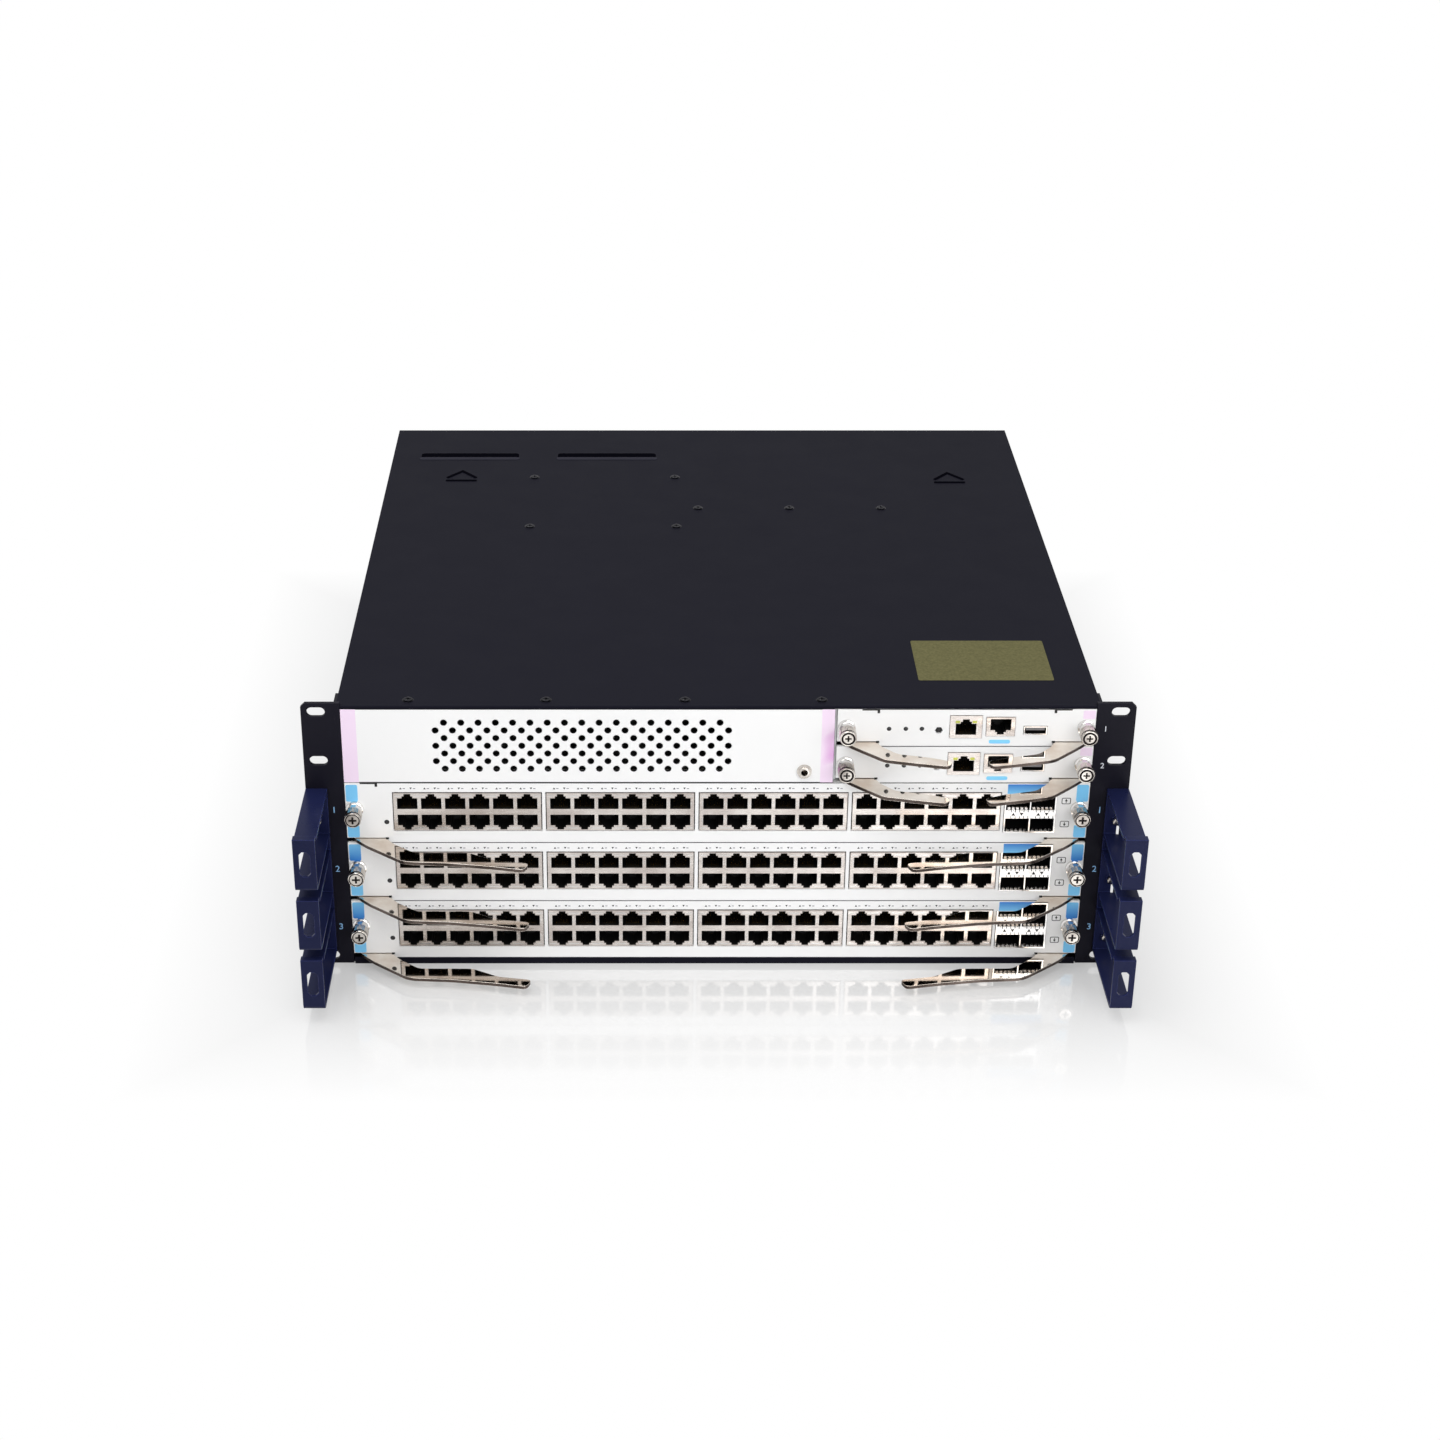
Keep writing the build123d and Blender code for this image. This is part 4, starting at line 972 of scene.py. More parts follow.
VENT_RADIUS = 2.0 * MM
VENT_PITCH = 10.0 * MM
VENT_ROW_PITCH = 5.03 * MM
VENT_ROWS = 7
VENT_COLUMNS = 17
VENT_LEFT = -158.9 * MM
VENT_TOP = 164.3 * MM
VENT_SHEET = 1.5 * MM
VENT_FOLD = 1.2 * MM
GAP_SHADE_LINE = 0.55 * MM
BAND_SKIN = 0.06 * MM
PINK_WIDTHS = lengths(8.7, 7.4)
JACK_HOLE = 3.2 * MM
JACK_PROFILE = places((-2.2, 2.0), (-2.2, 2.9), (-1.8, 3.3), (-1.4, 3.3), (-1.4, 4.2),
                      (0.0, 4.4), (0.0, 3.1), (13.8, 3.1), (13.8, 1.4), (12.0, 1.4), (12.0, 2.0))


def vent_centres():
    """The staggered field of vents, row by row."""
    for row in range(VENT_ROWS):
        shifted = row % 2
        start = VENT_LEFT - shifted * VENT_PITCH / 2
        for column in range(VENT_COLUMNS + shifted):
            yield start + column * VENT_PITCH, VENT_TOP - row * VENT_ROW_PITCH


def build_vent_panel():
    """The vent panel with round vents, its folded edges and its pink bands."""
    low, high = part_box("vent_panel")
    jack = centre_of("wrist_strap_jack")
    bm = bmesh.new()
    holes = [circle(x, z, VENT_RADIUS, 18) for x, z in vent_centres()]
    holes.append(circle(*jack, JACK_HOLE))
    skin = 0.12 * MM
    whole = rectangle(low.x, high.x, low.z, high.z)
    # Behind the thin white front skin the sheet and the vent walls are near-black: painted shade
    # inside the vents.
    add_plate(bm, whole, holes, 0, skin, 0, 1)
    add_plate(bm, whole, holes, skin, VENT_SHEET, 1)
    fold = (VENT_SHEET, high.y - FRONT)
    upright = (low.z + VENT_FOLD, high.z - VENT_FOLD)
    for x, z in (((low.x, high.x), (low.z, low.z + VENT_FOLD)),
                 ((low.x, high.x), (high.z - VENT_FOLD, high.z)),
                 ((low.x, low.x + VENT_FOLD), upright), ((high.x - VENT_FOLD, high.x), upright)):
        add_block(bm, x, fold, z)
    make_piece("vent_panel_sheet", bm, ["white_paint", "painted_shade_black"], "chassis",
               ("vent_panel",))
    # Dark lines along the lower, right and upper edges of the panel: painted shade in the gaps
    # around it.
    bm = bmesh.new()
    for x, z in (((low.x, high.x), (low.z - 0.1 * MM, low.z + GAP_SHADE_LINE * 0.6)),
                 ((high.x - GAP_SHADE_LINE, high.x + 0.15 * MM), (low.z, high.z)),
                 ((low.x, high.x), (high.z - GAP_SHADE_LINE * 0.5, high.z))):
        add_block(bm, x, (-0.04 * MM, 0.0), z)
    make_piece("vent_panel_shade_lines", bm, ["painted_shade_black"], "chassis")
    for name, x, used in (("left", (low.x, low.x + PINK_WIDTHS[0]), "pink_band"),
                          ("right", (high.x - PINK_WIDTHS[1], high.x), "pink_cloud")):
        bm = bmesh.new()
        add_block(bm, x, (-BAND_SKIN, 0), (low.z + 0.1 * MM, high.z - 0.1 * MM))
        make_piece(f"vent_panel_band_{name}", bm, [used], "chassis")
    bm = bmesh.new()
    add_lathe(bm, JACK_PROFILE, *jack)
    make_piece("wrist_strap_socket", bm, ["screw_nickel"], "chassis",
               ("wrist_strap_jack",))


# Faceplates and the marks on them


NOTCH_REACH = 24.0 * MM
CARD_CORNER = 18.5 * MM
SUPERVISOR_CORNER = 23.6 * MM
INK_SKIN = 0.05 * MM
GAP_SHADE_OVER = 0.08 * MM
GAP_SHADE_DROP = 0.32 * MM
GAP_SHADE_END = lengths(9.5, 0.8)
NOTCH_HALF = 0.7 * MM
NOTCH_DROPS = lengths(2.4, 0.3)
NUB_SPAN = lengths(1.2, 0.6)
NUB_RISES = lengths(2.2, 3.3)


def build_edge_shade_lines(module):
    """Painted shade: a dark line along a faceplate's upper edge for the gap above it, dark ends
    of its notches, and small dark spots near its foot beside the levers' inner ends.
    """
    low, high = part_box(f"{module}_faceplate")
    corner = CARD_CORNER if module in CARDS else SUPERVISOR_CORNER
    bm = bmesh.new()
    top = high.z + GAP_SHADE_OVER
    add_block(bm, (low.x + corner, high.x - corner), (-INK_SKIN, 0.0),
              (high.z - GAP_SHADE_DROP, top))
    for edge, inward in ((low.x, 1), (high.x, -1)):
        start = edge + inward * (corner - GAP_SHADE_END[0])
        end = edge + inward * corner
        add_block(bm, sorted((start, end)), (-INK_SKIN, 0.0), (high.z - GAP_SHADE_END[1], top))
        add_block(bm, (end - NOTCH_HALF, end + NOTCH_HALF), (-0.3 * MM, 0.0),
                  [high.z - drop for drop in NOTCH_DROPS])
        nub = edge + inward * NOTCH_REACH
        add_block(bm, sorted((nub - inward * NUB_SPAN[0], nub + inward * NUB_SPAN[1])),
                  (-0.25 * MM, 0.3 * MM), [low.z + rise for rise in NUB_RISES])
    make_piece(f"{module}_gasket", bm, ["painted_shade_black"], module)


def make_patch(name, x, base, rise, radius, used, body):
    """A thin printed patch on the front plane, with its heights counted from a base."""
    bm = bmesh.new()
    outline = rectangle(*x, *(base + limit for limit in rise))
    add_plate(bm, fillet(outline, radius, 3), (), -BAND_SKIN, 0.0)
    make_piece(name, bm, [used], body)


LENS_CROWN = -0.15 * MM
LENS_SHOULDER = -0.05 * MM


def make_lamps(name, spots, radius, body):
    """Low dark lamp lenses, half as wide again at the foot as at the crown."""
    bm = bmesh.new()
    foot = radius * 1.5
    for x, z in spots:
        add_lathe(bm, [(LENS_CROWN, 0.0), (LENS_CROWN, radius), (LENS_SHOULDER, foot),
                       (0.0, foot), (0.0, 0.0)], x, z, 0, 20)
    make_piece(name, bm, ["lens_dark"], body)


BAND_X = lengths(210.9, 217.9)
BAND_RISES = {"upper": lengths(27.4, 38.6), "lower": lengths(3.3, 11.6)}
BAND_CORNER = 1.2 * MM
FIELD_X = lengths(170.4, 201.6)
FIELD_RISE = lengths(32.6, 38.9)
LED_X = -194.6 * MM
LED_RISE = 13.7 * MM


def build_card_faceplate(card):
    """A line card's faceplate with its blue bands, blue field and lamp."""
    node = f"{card}_faceplate"
    soften_node(node, 0.15 * MM, "white_paint")
    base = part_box(node)[0].z
    top_band = "sky_band" if card == CARDS[0] else "azure_band"
    for side, inward in SIDES:
        x = sorted(-inward * edge for edge in BAND_X)
        for part, rise in BAND_RISES.items():
            used = top_band if part == "upper" else "sky_band"
            make_patch(f"{card}_band_{side}_{part}", x, base, rise, BAND_CORNER, used, card)
    make_patch(f"{card}_blue_field", FIELD_X, base, FIELD_RISE, 0.3 * MM, "field_blue", card)
    make_lamps(f"{card}_lamp", [(LED_X, base + LED_RISE)], 1.0 * MM, card)


def triangle_mark(x, z, size, up):
    """A small triangle that points up or down."""
    return [(x - size, z - up * size * 0.8), (x + size, z - up * size * 0.8),
            (x, z + up * size * 0.9)]


MARK_SHIFTS = ((-3.6 * MM, 1), (2.4 * MM, -1))
MARK_Z = 36.2 * MM
DASH_RISE = lengths(35.9, 36.4)
ARROW_X = 205.2 * MM
ARROW_RISES = ((27.8 * MM, 1), (12.3 * MM, -1))
ARROW_BOX = lengths(2.7, 2.1)
ARROW_LINE = 0.42 * MM


def build_card_marks(card):
    """The small triangles over the sockets and the boxed arrows beside the fibre cage."""
    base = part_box(f"{card}_faceplate")[0].z
    sizes = bpy.context.scene.chassis_sockets
    half, tall = ARROW_BOX
    skin = (-INK_SKIN, 0.0)
    bm = bmesh.new()
    for centre in block_centres(card):
        for x in columns_of(centre, sizes):
            for shift, up in MARK_SHIFTS:
                mark = triangle_mark(x + shift, base + MARK_Z, 0.72 * MM, up)
                add_plate(bm, mark, (), *skin)
                dash = x + shift + 1.9 * MM
                add_block(bm, (dash - 0.55 * MM, dash + 0.75 * MM), skin,
                          [base + rise for rise in DASH_RISE], 1)
    x = ARROW_X
    for rise, up in ARROW_RISES:
        z = base + rise
        outer = fillet(centred(x, z, half, tall), 0.9 * MM, 3)
        inner = fillet(centred(x, z, half - ARROW_LINE, tall - ARROW_LINE), 0.6 * MM, 3)
        add_plate(bm, outer, (inner,), *skin)
        add_plate(bm, triangle_mark(x, z + up * 0.55 * MM, 0.85 * MM, up), (), *skin)
        add_plate(bm, centred(x, z, 0.22 * MM, 1.2 * MM), (), *skin)
    make_piece(f"{card}_marks", bm, ["ink", "pale_ink"], card)


SUPERVISOR_LAMPS_X = lengths(99.0, 108.7, 118.0)
SUPERVISOR_LAMP_RISE = 11.2 * MM
PILL_X = lengths(157.2, 169.6)
PILL_RISE = lengths(1.6, 4.1)
CORNER_RISE = lengths(17.6, 23.0)
CAP_PROFILE = places((0.4, 0.0), (0.4, 1.3), (0.8, 1.65), (8.2, 1.65), (8.2, 0.0))


def build_supervisor_faceplate(supervisor):
    """A supervisor's faceplate with its lamps, blue pill and pink corner."""
    node = f"{supervisor}_faceplate"
    soften_node(node, 0.15 * MM, "white_paint")
    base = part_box(node)[0].z
    spots = [(x, base + SUPERVISOR_LAMP_RISE) for x in SUPERVISOR_LAMPS_X]
    make_lamps(f"{supervisor}_lamps", spots, 0.9 * MM, supervisor)
    make_patch(f"{supervisor}_pill", PILL_X, base, PILL_RISE, 1.2 * MM, "pill_blue", supervisor)
    make_patch(f"{supervisor}_corner", BAND_X, base, CORNER_RISE, 0.8 * MM, "pink_band",
               supervisor)
    button = f"{supervisor}_reset_button"
    bm = bmesh.new()
    add_lathe(bm, CAP_PROFILE, *centre_of(button), 0, 20)
    make_piece(f"{supervisor}_reset_cap", bm, ["black_plastic"], button,
               (button,))


# Network sockets


SOCKET_FINISHES = ["tin_shield", "deep_black", "gold_contact", "bright_tin", "led_amber",
                   "grey_plastic"]
SHIELD, HOUSING, CONTACT, SPRING, SIGNAL, TONGUE = range(len(SOCKET_FINISHES))
BLOCK_COUNT = 4
BLOCK_PITCH = 90.0 * MM
PROUD = 0.3 * MM
SHIELD_GAP = 0.3 * MM


def block_centres(card):
    """The middle of each block of sockets, from the left."""
    low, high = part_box(f"{card}_port_blocks")
    block_width = high.x - low.x - (BLOCK_COUNT - 1) * BLOCK_PITCH
    return [low.x + block_width / 2 + i * BLOCK_PITCH for i in range(BLOCK_COUNT)]


def columns_of(centre, sizes, extra=0):
    """The X of each column of a block, or with one extra, of each web beside them."""
    count = sizes.columns + extra
    return [centre + (column - (count - 1) / 2) * sizes.pitch for column in range(count)]


NOTCH_WIDE = 3.2 * MM
NOTCH_SLIM = 2.0 * MM


def mouth_outline(x, z, up, grow=0.0):
    """A socket's mouth with its two-step latch notch above or below."""
    sizes = bpy.context.scene.chassis_sockets
    half = sizes.width / 2 + grow
    foot = z - up * (sizes.height / 2 + grow)
    shoulder = z + up * (sizes.height / 2 + grow)
    step = shoulder + up * sizes.notch * 0.45
    crest = shoulder + up * sizes.notch
    wide = NOTCH_WIDE + grow
    slim = NOTCH_SLIM + grow
    return [(x - half, foot), (x + half, foot), (x + half, shoulder), (x + wide, shoulder),
            (x + wide, step), (x + slim, step), (x + slim, crest), (x - slim, crest),
            (x - slim, step), (x - wide, step), (x - wide, shoulder), (x - half, shoulder)]


CONTACT_WIRES = 8
CONTACT_PITCH = 1.02 * MM
CONTACT_START = lengths(2.2, 0.5)
CONTACT_END = lengths(11.5, 3.4)
CONTACT_SIZE = lengths(0.38, 0.3)
LEAF_REACH = 2.1 * MM
LEAF_BEND = 0.5 * MM
LEAF_SHAPE = lengths(0.55, 0.2, 0.55)


def add_contacts(bm, x, z, up):
    """The slanted contact wires on the side away from the latch."""
    sizes = bpy.context.scene.chassis_sockets
    floor = z - up * sizes.height / 2
    for wire in range(CONTACT_WIRES):
        wire_x = x + (wire - (CONTACT_WIRES - 1) / 2) * CONTACT_PITCH
        ends = [(wire_x, behind(depth), floor + up * rise)
                for depth, rise in (CONTACT_START, CONTACT_END)]
        add_bar(bm, *ends, *CONTACT_SIZE, CONTACT)


def add_spring_leaf(bm, x, z, side):
    """A slim shield spring beside a mouth."""
    bends = [(x + side * out, z + step * LEAF_BEND)
             for out, step in zip(LEAF_SHAPE, (-1, 0, 1))]
    outline = [(x, z - LEAF_REACH), *bends, (x, z + LEAF_REACH)]
    add_plate(bm, outline, (), -PROUD - 0.18 * MM, -PROUD + 0.1 * MM, SPRING)


SHIELD_SHEET = 0.35 * MM
TAB_REACH = 3.1 * MM
TAB_HEIGHT = 0.75 * MM
TAB_MARGIN = 0.7 * MM


def build_port_blocks(card):
    """Four shielded blocks of sockets with housings, contacts and spring tabs."""
    sizes = bpy.context.scene.chassis_sockets
    low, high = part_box(f"{card}_port_blocks")
    middle = (low.z + high.z) / 2
    rise = (sizes.bar + sizes.height) / 2
    back = high.y - FRONT
    sheet = SHIELD_SHEET
    bm = bmesh.new()
    centres = block_centres(card)
    half_width = centres[0] - low.x
    foot = low.z + SHIELD_GAP
    head = high.z - SHIELD_GAP
    for centre in centres:
        sockets = [(x, middle + up * rise, up) for x in columns_of(centre, sizes)
                   for up in (1, -1)]
        left = centre - half_width + SHIELD_GAP
        right = centre + half_width - SHIELD_GAP
        rim = rectangle(left, right, foot, head)
        add_plate(bm, rim, [mouth_outline(*socket) for socket in sockets],
                  -PROUD, sheet - PROUD, SHIELD)
        inner = rectangle(left + sheet, right - sheet, foot + sheet, head - sheet)
        add_plate(bm, rim, (inner,), sheet - PROUD, back, SHIELD)
        add_plate(bm, inner, [mouth_outline(*socket, 0.12 * MM) for socket in sockets],
                  sheet - PROUD + 0.02 * MM, sizes.depth, HOUSING)
        add_plate(bm, inner, (), sizes.depth, back - 0.1 * MM, HOUSING)
        for x, z, up in sockets:
            add_contacts(bm, x, z, up)
            for side in (-1, 1):
                add_spring_leaf(bm, x + side * (sizes.width / 2 + 0.15 * MM), z, side)
        for x in columns_of(centre, sizes, 1):
            tab = (max(x - TAB_REACH, left + TAB_MARGIN), min(x + TAB_REACH, right - TAB_MARGIN))
            for up in (1, -1):
                edge = middle + up * (rise + sizes.height / 2 + 1.25 * MM)
                add_block(bm, tab, (-PROUD - 0.2 * MM, -PROUD + 0.1 * MM),
                          sorted((edge, edge + up * TAB_HEIGHT)), SPRING)
    make_piece(f"{card}_port_shields", bm, SOCKET_FINISHES[:SIGNAL], card,
               (f"{card}_port_blocks",))


CAGE_MOUTH = lengths(14.0, 8.8)
CAGE_WALL = 0.8 * MM
CAGE_LIP = 0.5 * MM
CAGE_BACK = 6 * MM
FINGERS = (-2, -1, 0, 1, 2)
FINGER_PITCH = 2.5 * MM
FINGER_SIZE = lengths(1.5, 0.2)
FINGER_END = 1.2 * MM
SLIT_HALF = 0.22 * MM
STRIP_MARK = lengths(2.4, 1.15)


def build_fibre_cage(card):
    """The cage for four fibre transceivers, with its latch strip and spring fringe."""
    low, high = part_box(f"{card}_fibre_cage")
    proud = FRONT - low.y
    depth = high.y - FRONT
    width, height = CAGE_MOUTH
    centre, middle = centre_of(f"{card}_fibre_cage")
    x_step = (high.x - low.x) / 2 - CAGE_WALL - width / 2
    z_step = (high.z - low.z) / 2 - CAGE_WALL - height / 2
    bm = bmesh.new()
    mouths = [(centre + sx * x_step, middle + sz * z_step, sz) for sx in (-1, 1)
              for sz in (1, -1)]
    holes = [centred(x, z, width / 2, height / 2) for x, z, sz in mouths]
    rim = rectangle(low.x, high.x, low.z, high.z)
    add_plate(bm, rim, holes, -proud, CAGE_LIP)
    liner = rectangle(low.x + 0.1 * MM, high.x - 0.1 * MM, low.z + 0.1 * MM, high.z - 0.1 * MM)
    add_plate(bm, liner, holes, CAGE_LIP, depth - CAGE_BACK, 1)
    add_plate(bm, rim, (), depth - CAGE_BACK, depth)
    tip = behind(-proud - 0.05 * MM)
    end = behind(FINGER_END)
    for x, z, sz in mouths:
        inner_z = z - sz * height / 2
        outer_z = z + sz * height / 2
        for finger in FINGERS:
            finger_x = x + finger * FINGER_PITCH
            add_bar(bm, (finger_x, tip, inner_z - sz * 0.5 * MM),
                    (finger_x, end, inner_z + sz * 0.9 * MM), *FINGER_SIZE)
            add_bar(bm, (finger_x, tip, outer_z + sz * 0.2 * MM),
                    (finger_x, end, outer_z - sz * 0.8 * MM), *FINGER_SIZE)
            slit = finger_x + FINGER_PITCH / 2
            add_block(bm, (slit - SLIT_HALF, slit + SLIT_HALF), (-proud - 0.04 * MM, -proud),
                      sorted((inner_z - sz * 0.1 * MM, inner_z - sz * 1.5 * MM)), 1)
        if sz < 0:
            for up in (1, -1):
                mark = triangle_mark(x - up * STRIP_MARK[0], middle, STRIP_MARK[1], up)
                add_plate(bm, mark, (), -proud - INK_SKIN, -proud, 1)
    make_piece(f"{card}_cage_detail", bm, ["bright_tin", "deep_black"], card,
               (f"{card}_fibre_cage",))


LAN = lengths(134.2, 152.7, 5.3, 19.7)
CONSOLE = lengths(155.3, 171.8, 6.6, 18.7)
BUS = lengths(177.1, 190.5, 7.6, 12.8)
SOCKET_WALL = 0.4 * MM
LAMP_SHIFT = lengths(4.9, 1.1)
LAMP_HALF = lengths(1.3, 0.8)
BUS_WALL = 0.55 * MM
BUS_DEPTHS = lengths(0.4, 10.0, 14.0)
TONGUE_DROP = 2.0 * MM
TONGUE_HALF = 0.9 * MM
TONGUE_INSET = 1.3 * MM
BUS_CONTACTS = 4
BUS_CONTACT_PITCH = 2.3 * MM
BUS_CONTACT_HALF = 0.5 * MM
BUS_CONTACT_DROPS = lengths(1.0, 0.88)


def build_supervisor_sockets(supervisor):
    """The two network sockets and the bus socket of a supervisor."""
    sizes = bpy.context.scene.chassis_sockets
    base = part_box(f"{supervisor}_faceplate")[0].z
    node_low, node_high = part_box(f"{supervisor}_sockets")
    back = node_high.y - FRONT
    bm = bmesh.new()
    for (left, right, foot, head), up in ((LAN, 1), (CONSOLE, -1)):
        x = (left + right) / 2
        z = base + (foot + head) / 2 - up * sizes.notch / 2
        rim = rectangle(left, right, base + foot, base + head)
        inner = rectangle(left + SOCKET_WALL, right - SOCKET_WALL, base + foot + SOCKET_WALL,
                          base + head - SOCKET_WALL)
        add_plate(bm, rim, (mouth_outline(x, z, up),), -PROUD, 0.1 * MM, SHIELD)
        add_plate(bm, rim, (inner,), 0.1 * MM, back, SHIELD)
        add_plate(bm, inner, (mouth_outline(x, z, up, 0.1 * MM),), 0.12 * MM, sizes.depth,
                  HOUSING)
        add_plate(bm, inner, (), sizes.depth, back - 0.1 * MM, HOUSING)
        add_contacts(bm, x, z, up)
        for side in (-1, 1):
            add_spring_leaf(bm, x + side * (sizes.width / 2 + 0.3 * MM), z, side)
            if up > 0:
                lamp = centred(x + side * LAMP_SHIFT[0], z + sizes.height / 2 + LAMP_SHIFT[1],
                               *LAMP_HALF)
                add_plate(bm, lamp, (), -PROUD - 0.1 * MM, 0.0, SIGNAL)
    left, right, foot, head = BUS
    lip, floor, back = BUS_DEPTHS
    rim = fillet(rectangle(left, right, base + foot, base + head), 0.4 * MM, 2)
    inner = rectangle(left + BUS_WALL, right - BUS_WALL, base + foot + BUS_WALL,
                      base + head - BUS_WALL)
    add_plate(bm, rim, (inner,), -PROUD, lip, SPRING)
    add_plate(bm, rim, (inner,), lip, back, HOUSING)
    add_plate(bm, inner, (), floor, back - 0.1 * MM, HOUSING)
    tongue = base + head - TONGUE_DROP
    add_block(bm, (left + TONGUE_INSET, right - TONGUE_INSET), (0.8 * MM, floor),
              (tongue - TONGUE_HALF, tongue + TONGUE_HALF), TONGUE)
    for contact in range(BUS_CONTACTS):
        x = (left + right) / 2 + (contact - (BUS_CONTACTS - 1) / 2) * BUS_CONTACT_PITCH
        add_block(bm, (x - BUS_CONTACT_HALF, x + BUS_CONTACT_HALF), (1.2 * MM, 8.0 * MM),
                  [tongue - drop for drop in BUS_CONTACT_DROPS], CONTACT)
    for left, right, foot, head in (LAN, CONSOLE, BUS):
        add_block(bm, (left, right), (2.3 * MM, back), (node_low.z, base + foot), HOUSING)
    make_piece(f"{supervisor}_socket_detail", bm, SOCKET_FINISHES, supervisor,
               (f"{supervisor}_sockets",))


# Levers and captive screws


PIVOT_INSET = 10.4
PIVOT_DEPTH = 6.5
ROOT_RADIUS = 9.6
ROOT_TURNS = (-15, -70, -130, -190, -240)
CARD_INNER = ((23.3, 0.0), (27.5, 6.2), (40.4, 17.0), (72.7, 17.2), (88.4, 26.0),
              (108.7, 29.6))
CARD_OUTER = ((12.5, 9.0), (33.4, 26.0), (38.4, 27.7), (61.4, 29.2), (88.4, 33.4),
              (105.7, 37.0))
SUPERVISOR_INNER = ((23.3, 0.0), (25.6, 6.0), (34.0, 15.0), (53.4, 19.8), (64.9, 24.5))
SUPERVISOR_OUTER = ((12.5, 9.0), (26.0, 22.0), (43.0, 26.2), (62.5, 30.4))
LEVER_THICKNESS = 2.2 * MM
LEVER_CORNER = 3.0 * MM
LEVER_EDGE = 0.25 * MM
PIN_RADIUS = 1.9 * MM


def build_lever(module, side, inward):
    """A polished ejector lever with rounded edges and its pivot pin."""
    node = f"{module}_lever_{side}"
    plate_low, plate_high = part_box(f"{module}_faceplate")
    low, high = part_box(node)
    edge = plate_low.x if inward > 0 else plate_high.x
    inner, outer = ((CARD_INNER, CARD_OUTER) if module in CARDS
                    else (SUPERVISOR_INNER, SUPERVISOR_OUTER))
    root = [(PIVOT_INSET + ROOT_RADIUS * math.cos(math.radians(turn)),
             ROOT_RADIUS * math.sin(math.radians(turn)) - PIVOT_DEPTH) for turn in ROOT_TURNS]
    points = [(edge + inward * inset * MM, FRONT - forward * MM)
              for inset, forward in (*reversed(inner), *root, *outer)]
    bm = bmesh.new()
    outline = fillet(points, LEVER_CORNER)
    add_slab(bm, outline, (), low.z, low.z + LEVER_THICKNESS, 0, 1)
    soften(bm, LEVER_EDGE, 2, 50.0)
    pin = circle(edge + inward * PIVOT_INSET * MM, FRONT + PIVOT_DEPTH * MM, PIN_RADIUS, 20)
    add_slab(bm, pin, (), low.z + LEVER_THICKNESS, high.z)
    make_piece(f"{module}_handle_{side}", bm, ["mirror_nickel", "sheared_edge"], node,
               (node,))


CARD_RIM = (0.84, 0.12)
SUPERVISOR_RIM = (0.8, 0.22)
GROOVE_CROSS = (0.66, 0.17)
KNURL_TEETH = 36
SHANK_RADIUS = 1.45 * MM
SCREW_BORE = 2.0 * MM
FACE_DEPTH = 1.4 * MM
BACK_DEPTH = 2.6 * MM


def knurl_outline(x, z, radius):
    """The toothed outline of a knurled grip."""
    points = []
    for i in range(KNURL_TEETH * 2):
        turn = math.pi * i / KNURL_TEETH
        reach = radius * (1.0 if i % 2 else 0.94)
        points.append((x + reach * math.cos(turn), z + reach * math.sin(turn)))
    return points


def build_captive_screw(module, side):
    """A knurled captive screw with its cross slot, and the fixed ferrule behind it."""
    sizes = bpy.context.scene.chassis_screws
    node = f"{module}_screw_{side}"
    x, z = centre_of(node)
    radius = sizes.head_radius
    tip = -sizes.reach
    face = tip + FACE_DEPTH
    back = tip + BACK_DEPTH
    base = sizes.head_length - sizes.reach
    bm = bmesh.new()
    inner, step = CARD_RIM if module in CARDS else SUPERVISOR_RIM
    rim_inner = radius * inner
    groove = rim_inner - radius * step
    add_lathe(bm, [(tip + 0.5 * MM, radius * 0.97), (tip + 0.12 * MM, radius * 0.93),
                   (tip, radius * 0.89), (tip, rim_inner + 0.15 * MM),
                   (tip + 0.2 * MM, rim_inner), (face, rim_inner), (face, radius * 0.97)],
              x, z, 0, 40)
    slot = cross_outline(x, z, *(groove * share for share in GROOVE_CROSS))
    # The groove floor and the walls of the groove and of the cross slot take dark metal: painted
    # shade in the recess.
    add_plate(bm, circle(x, z, groove, 32), (slot,), tip + 0.25 * MM, face, 0, 1)
    add_plate(bm, circle(x, z, radius * 0.96, 32), (), face, back, 1)
    add_plate(bm, knurl_outline(x, z, radius), (), back, base)
    add_plate(bm, circle(x, z, SHANK_RADIUS, 20), (), base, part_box(node)[1].y - FRONT)
    make_piece(f"{module}_thumbscrew_{side}", bm, ["screw_nickel", "recess_painted_shade"],
               node, (node,))
    bm = bmesh.new()
    collar = sizes.ferrule_radius
    bore = SCREW_BORE
    add_lathe(bm, [(base + 0.3 * MM, bore), (base + 0.3 * MM, collar * 0.86),
                   (base + 0.9 * MM, collar * 0.95), (-2.0 * MM, collar * 0.95),
                   (-1.6 * MM, collar * 1.12), (0.0, collar * 1.12), (0.0, bore)], x, z)
    make_piece(f"{module}_ferrule_{side}", bm, ["bright_tin"], module)


# Rear


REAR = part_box("chassis_tub")[1].y - FRONT
INLET_AT = lengths(24, 18.5)
INLET_OUTER = lengths(12.1, 8.4)
INLET_INNER = lengths(10, 6)
INLET_PINS = places((-6, 0), (0, 1.5), (6, 0))
PIN_HALF = lengths(1, 2)
PIN_TIP = 2 * MM
INLET_DEPTH = 14.9 * MM
INLET_PROUD = 0.6 * MM
SUPPLY_LAMP_RISE = 32 * MM
SUPPLY_LAMP = places((0.0, 0.0), (0.0, 1.6), (0.5, 1.4), (0.5, 0.0))
SUPPLY_VENT_AT = lengths(48, 7.5)
SUPPLY_VENT_PITCH = lengths(6, 4.2)
SUPPLY_VENT_ROWS = 7
SUPPLY_VENT_COLUMNS = 4


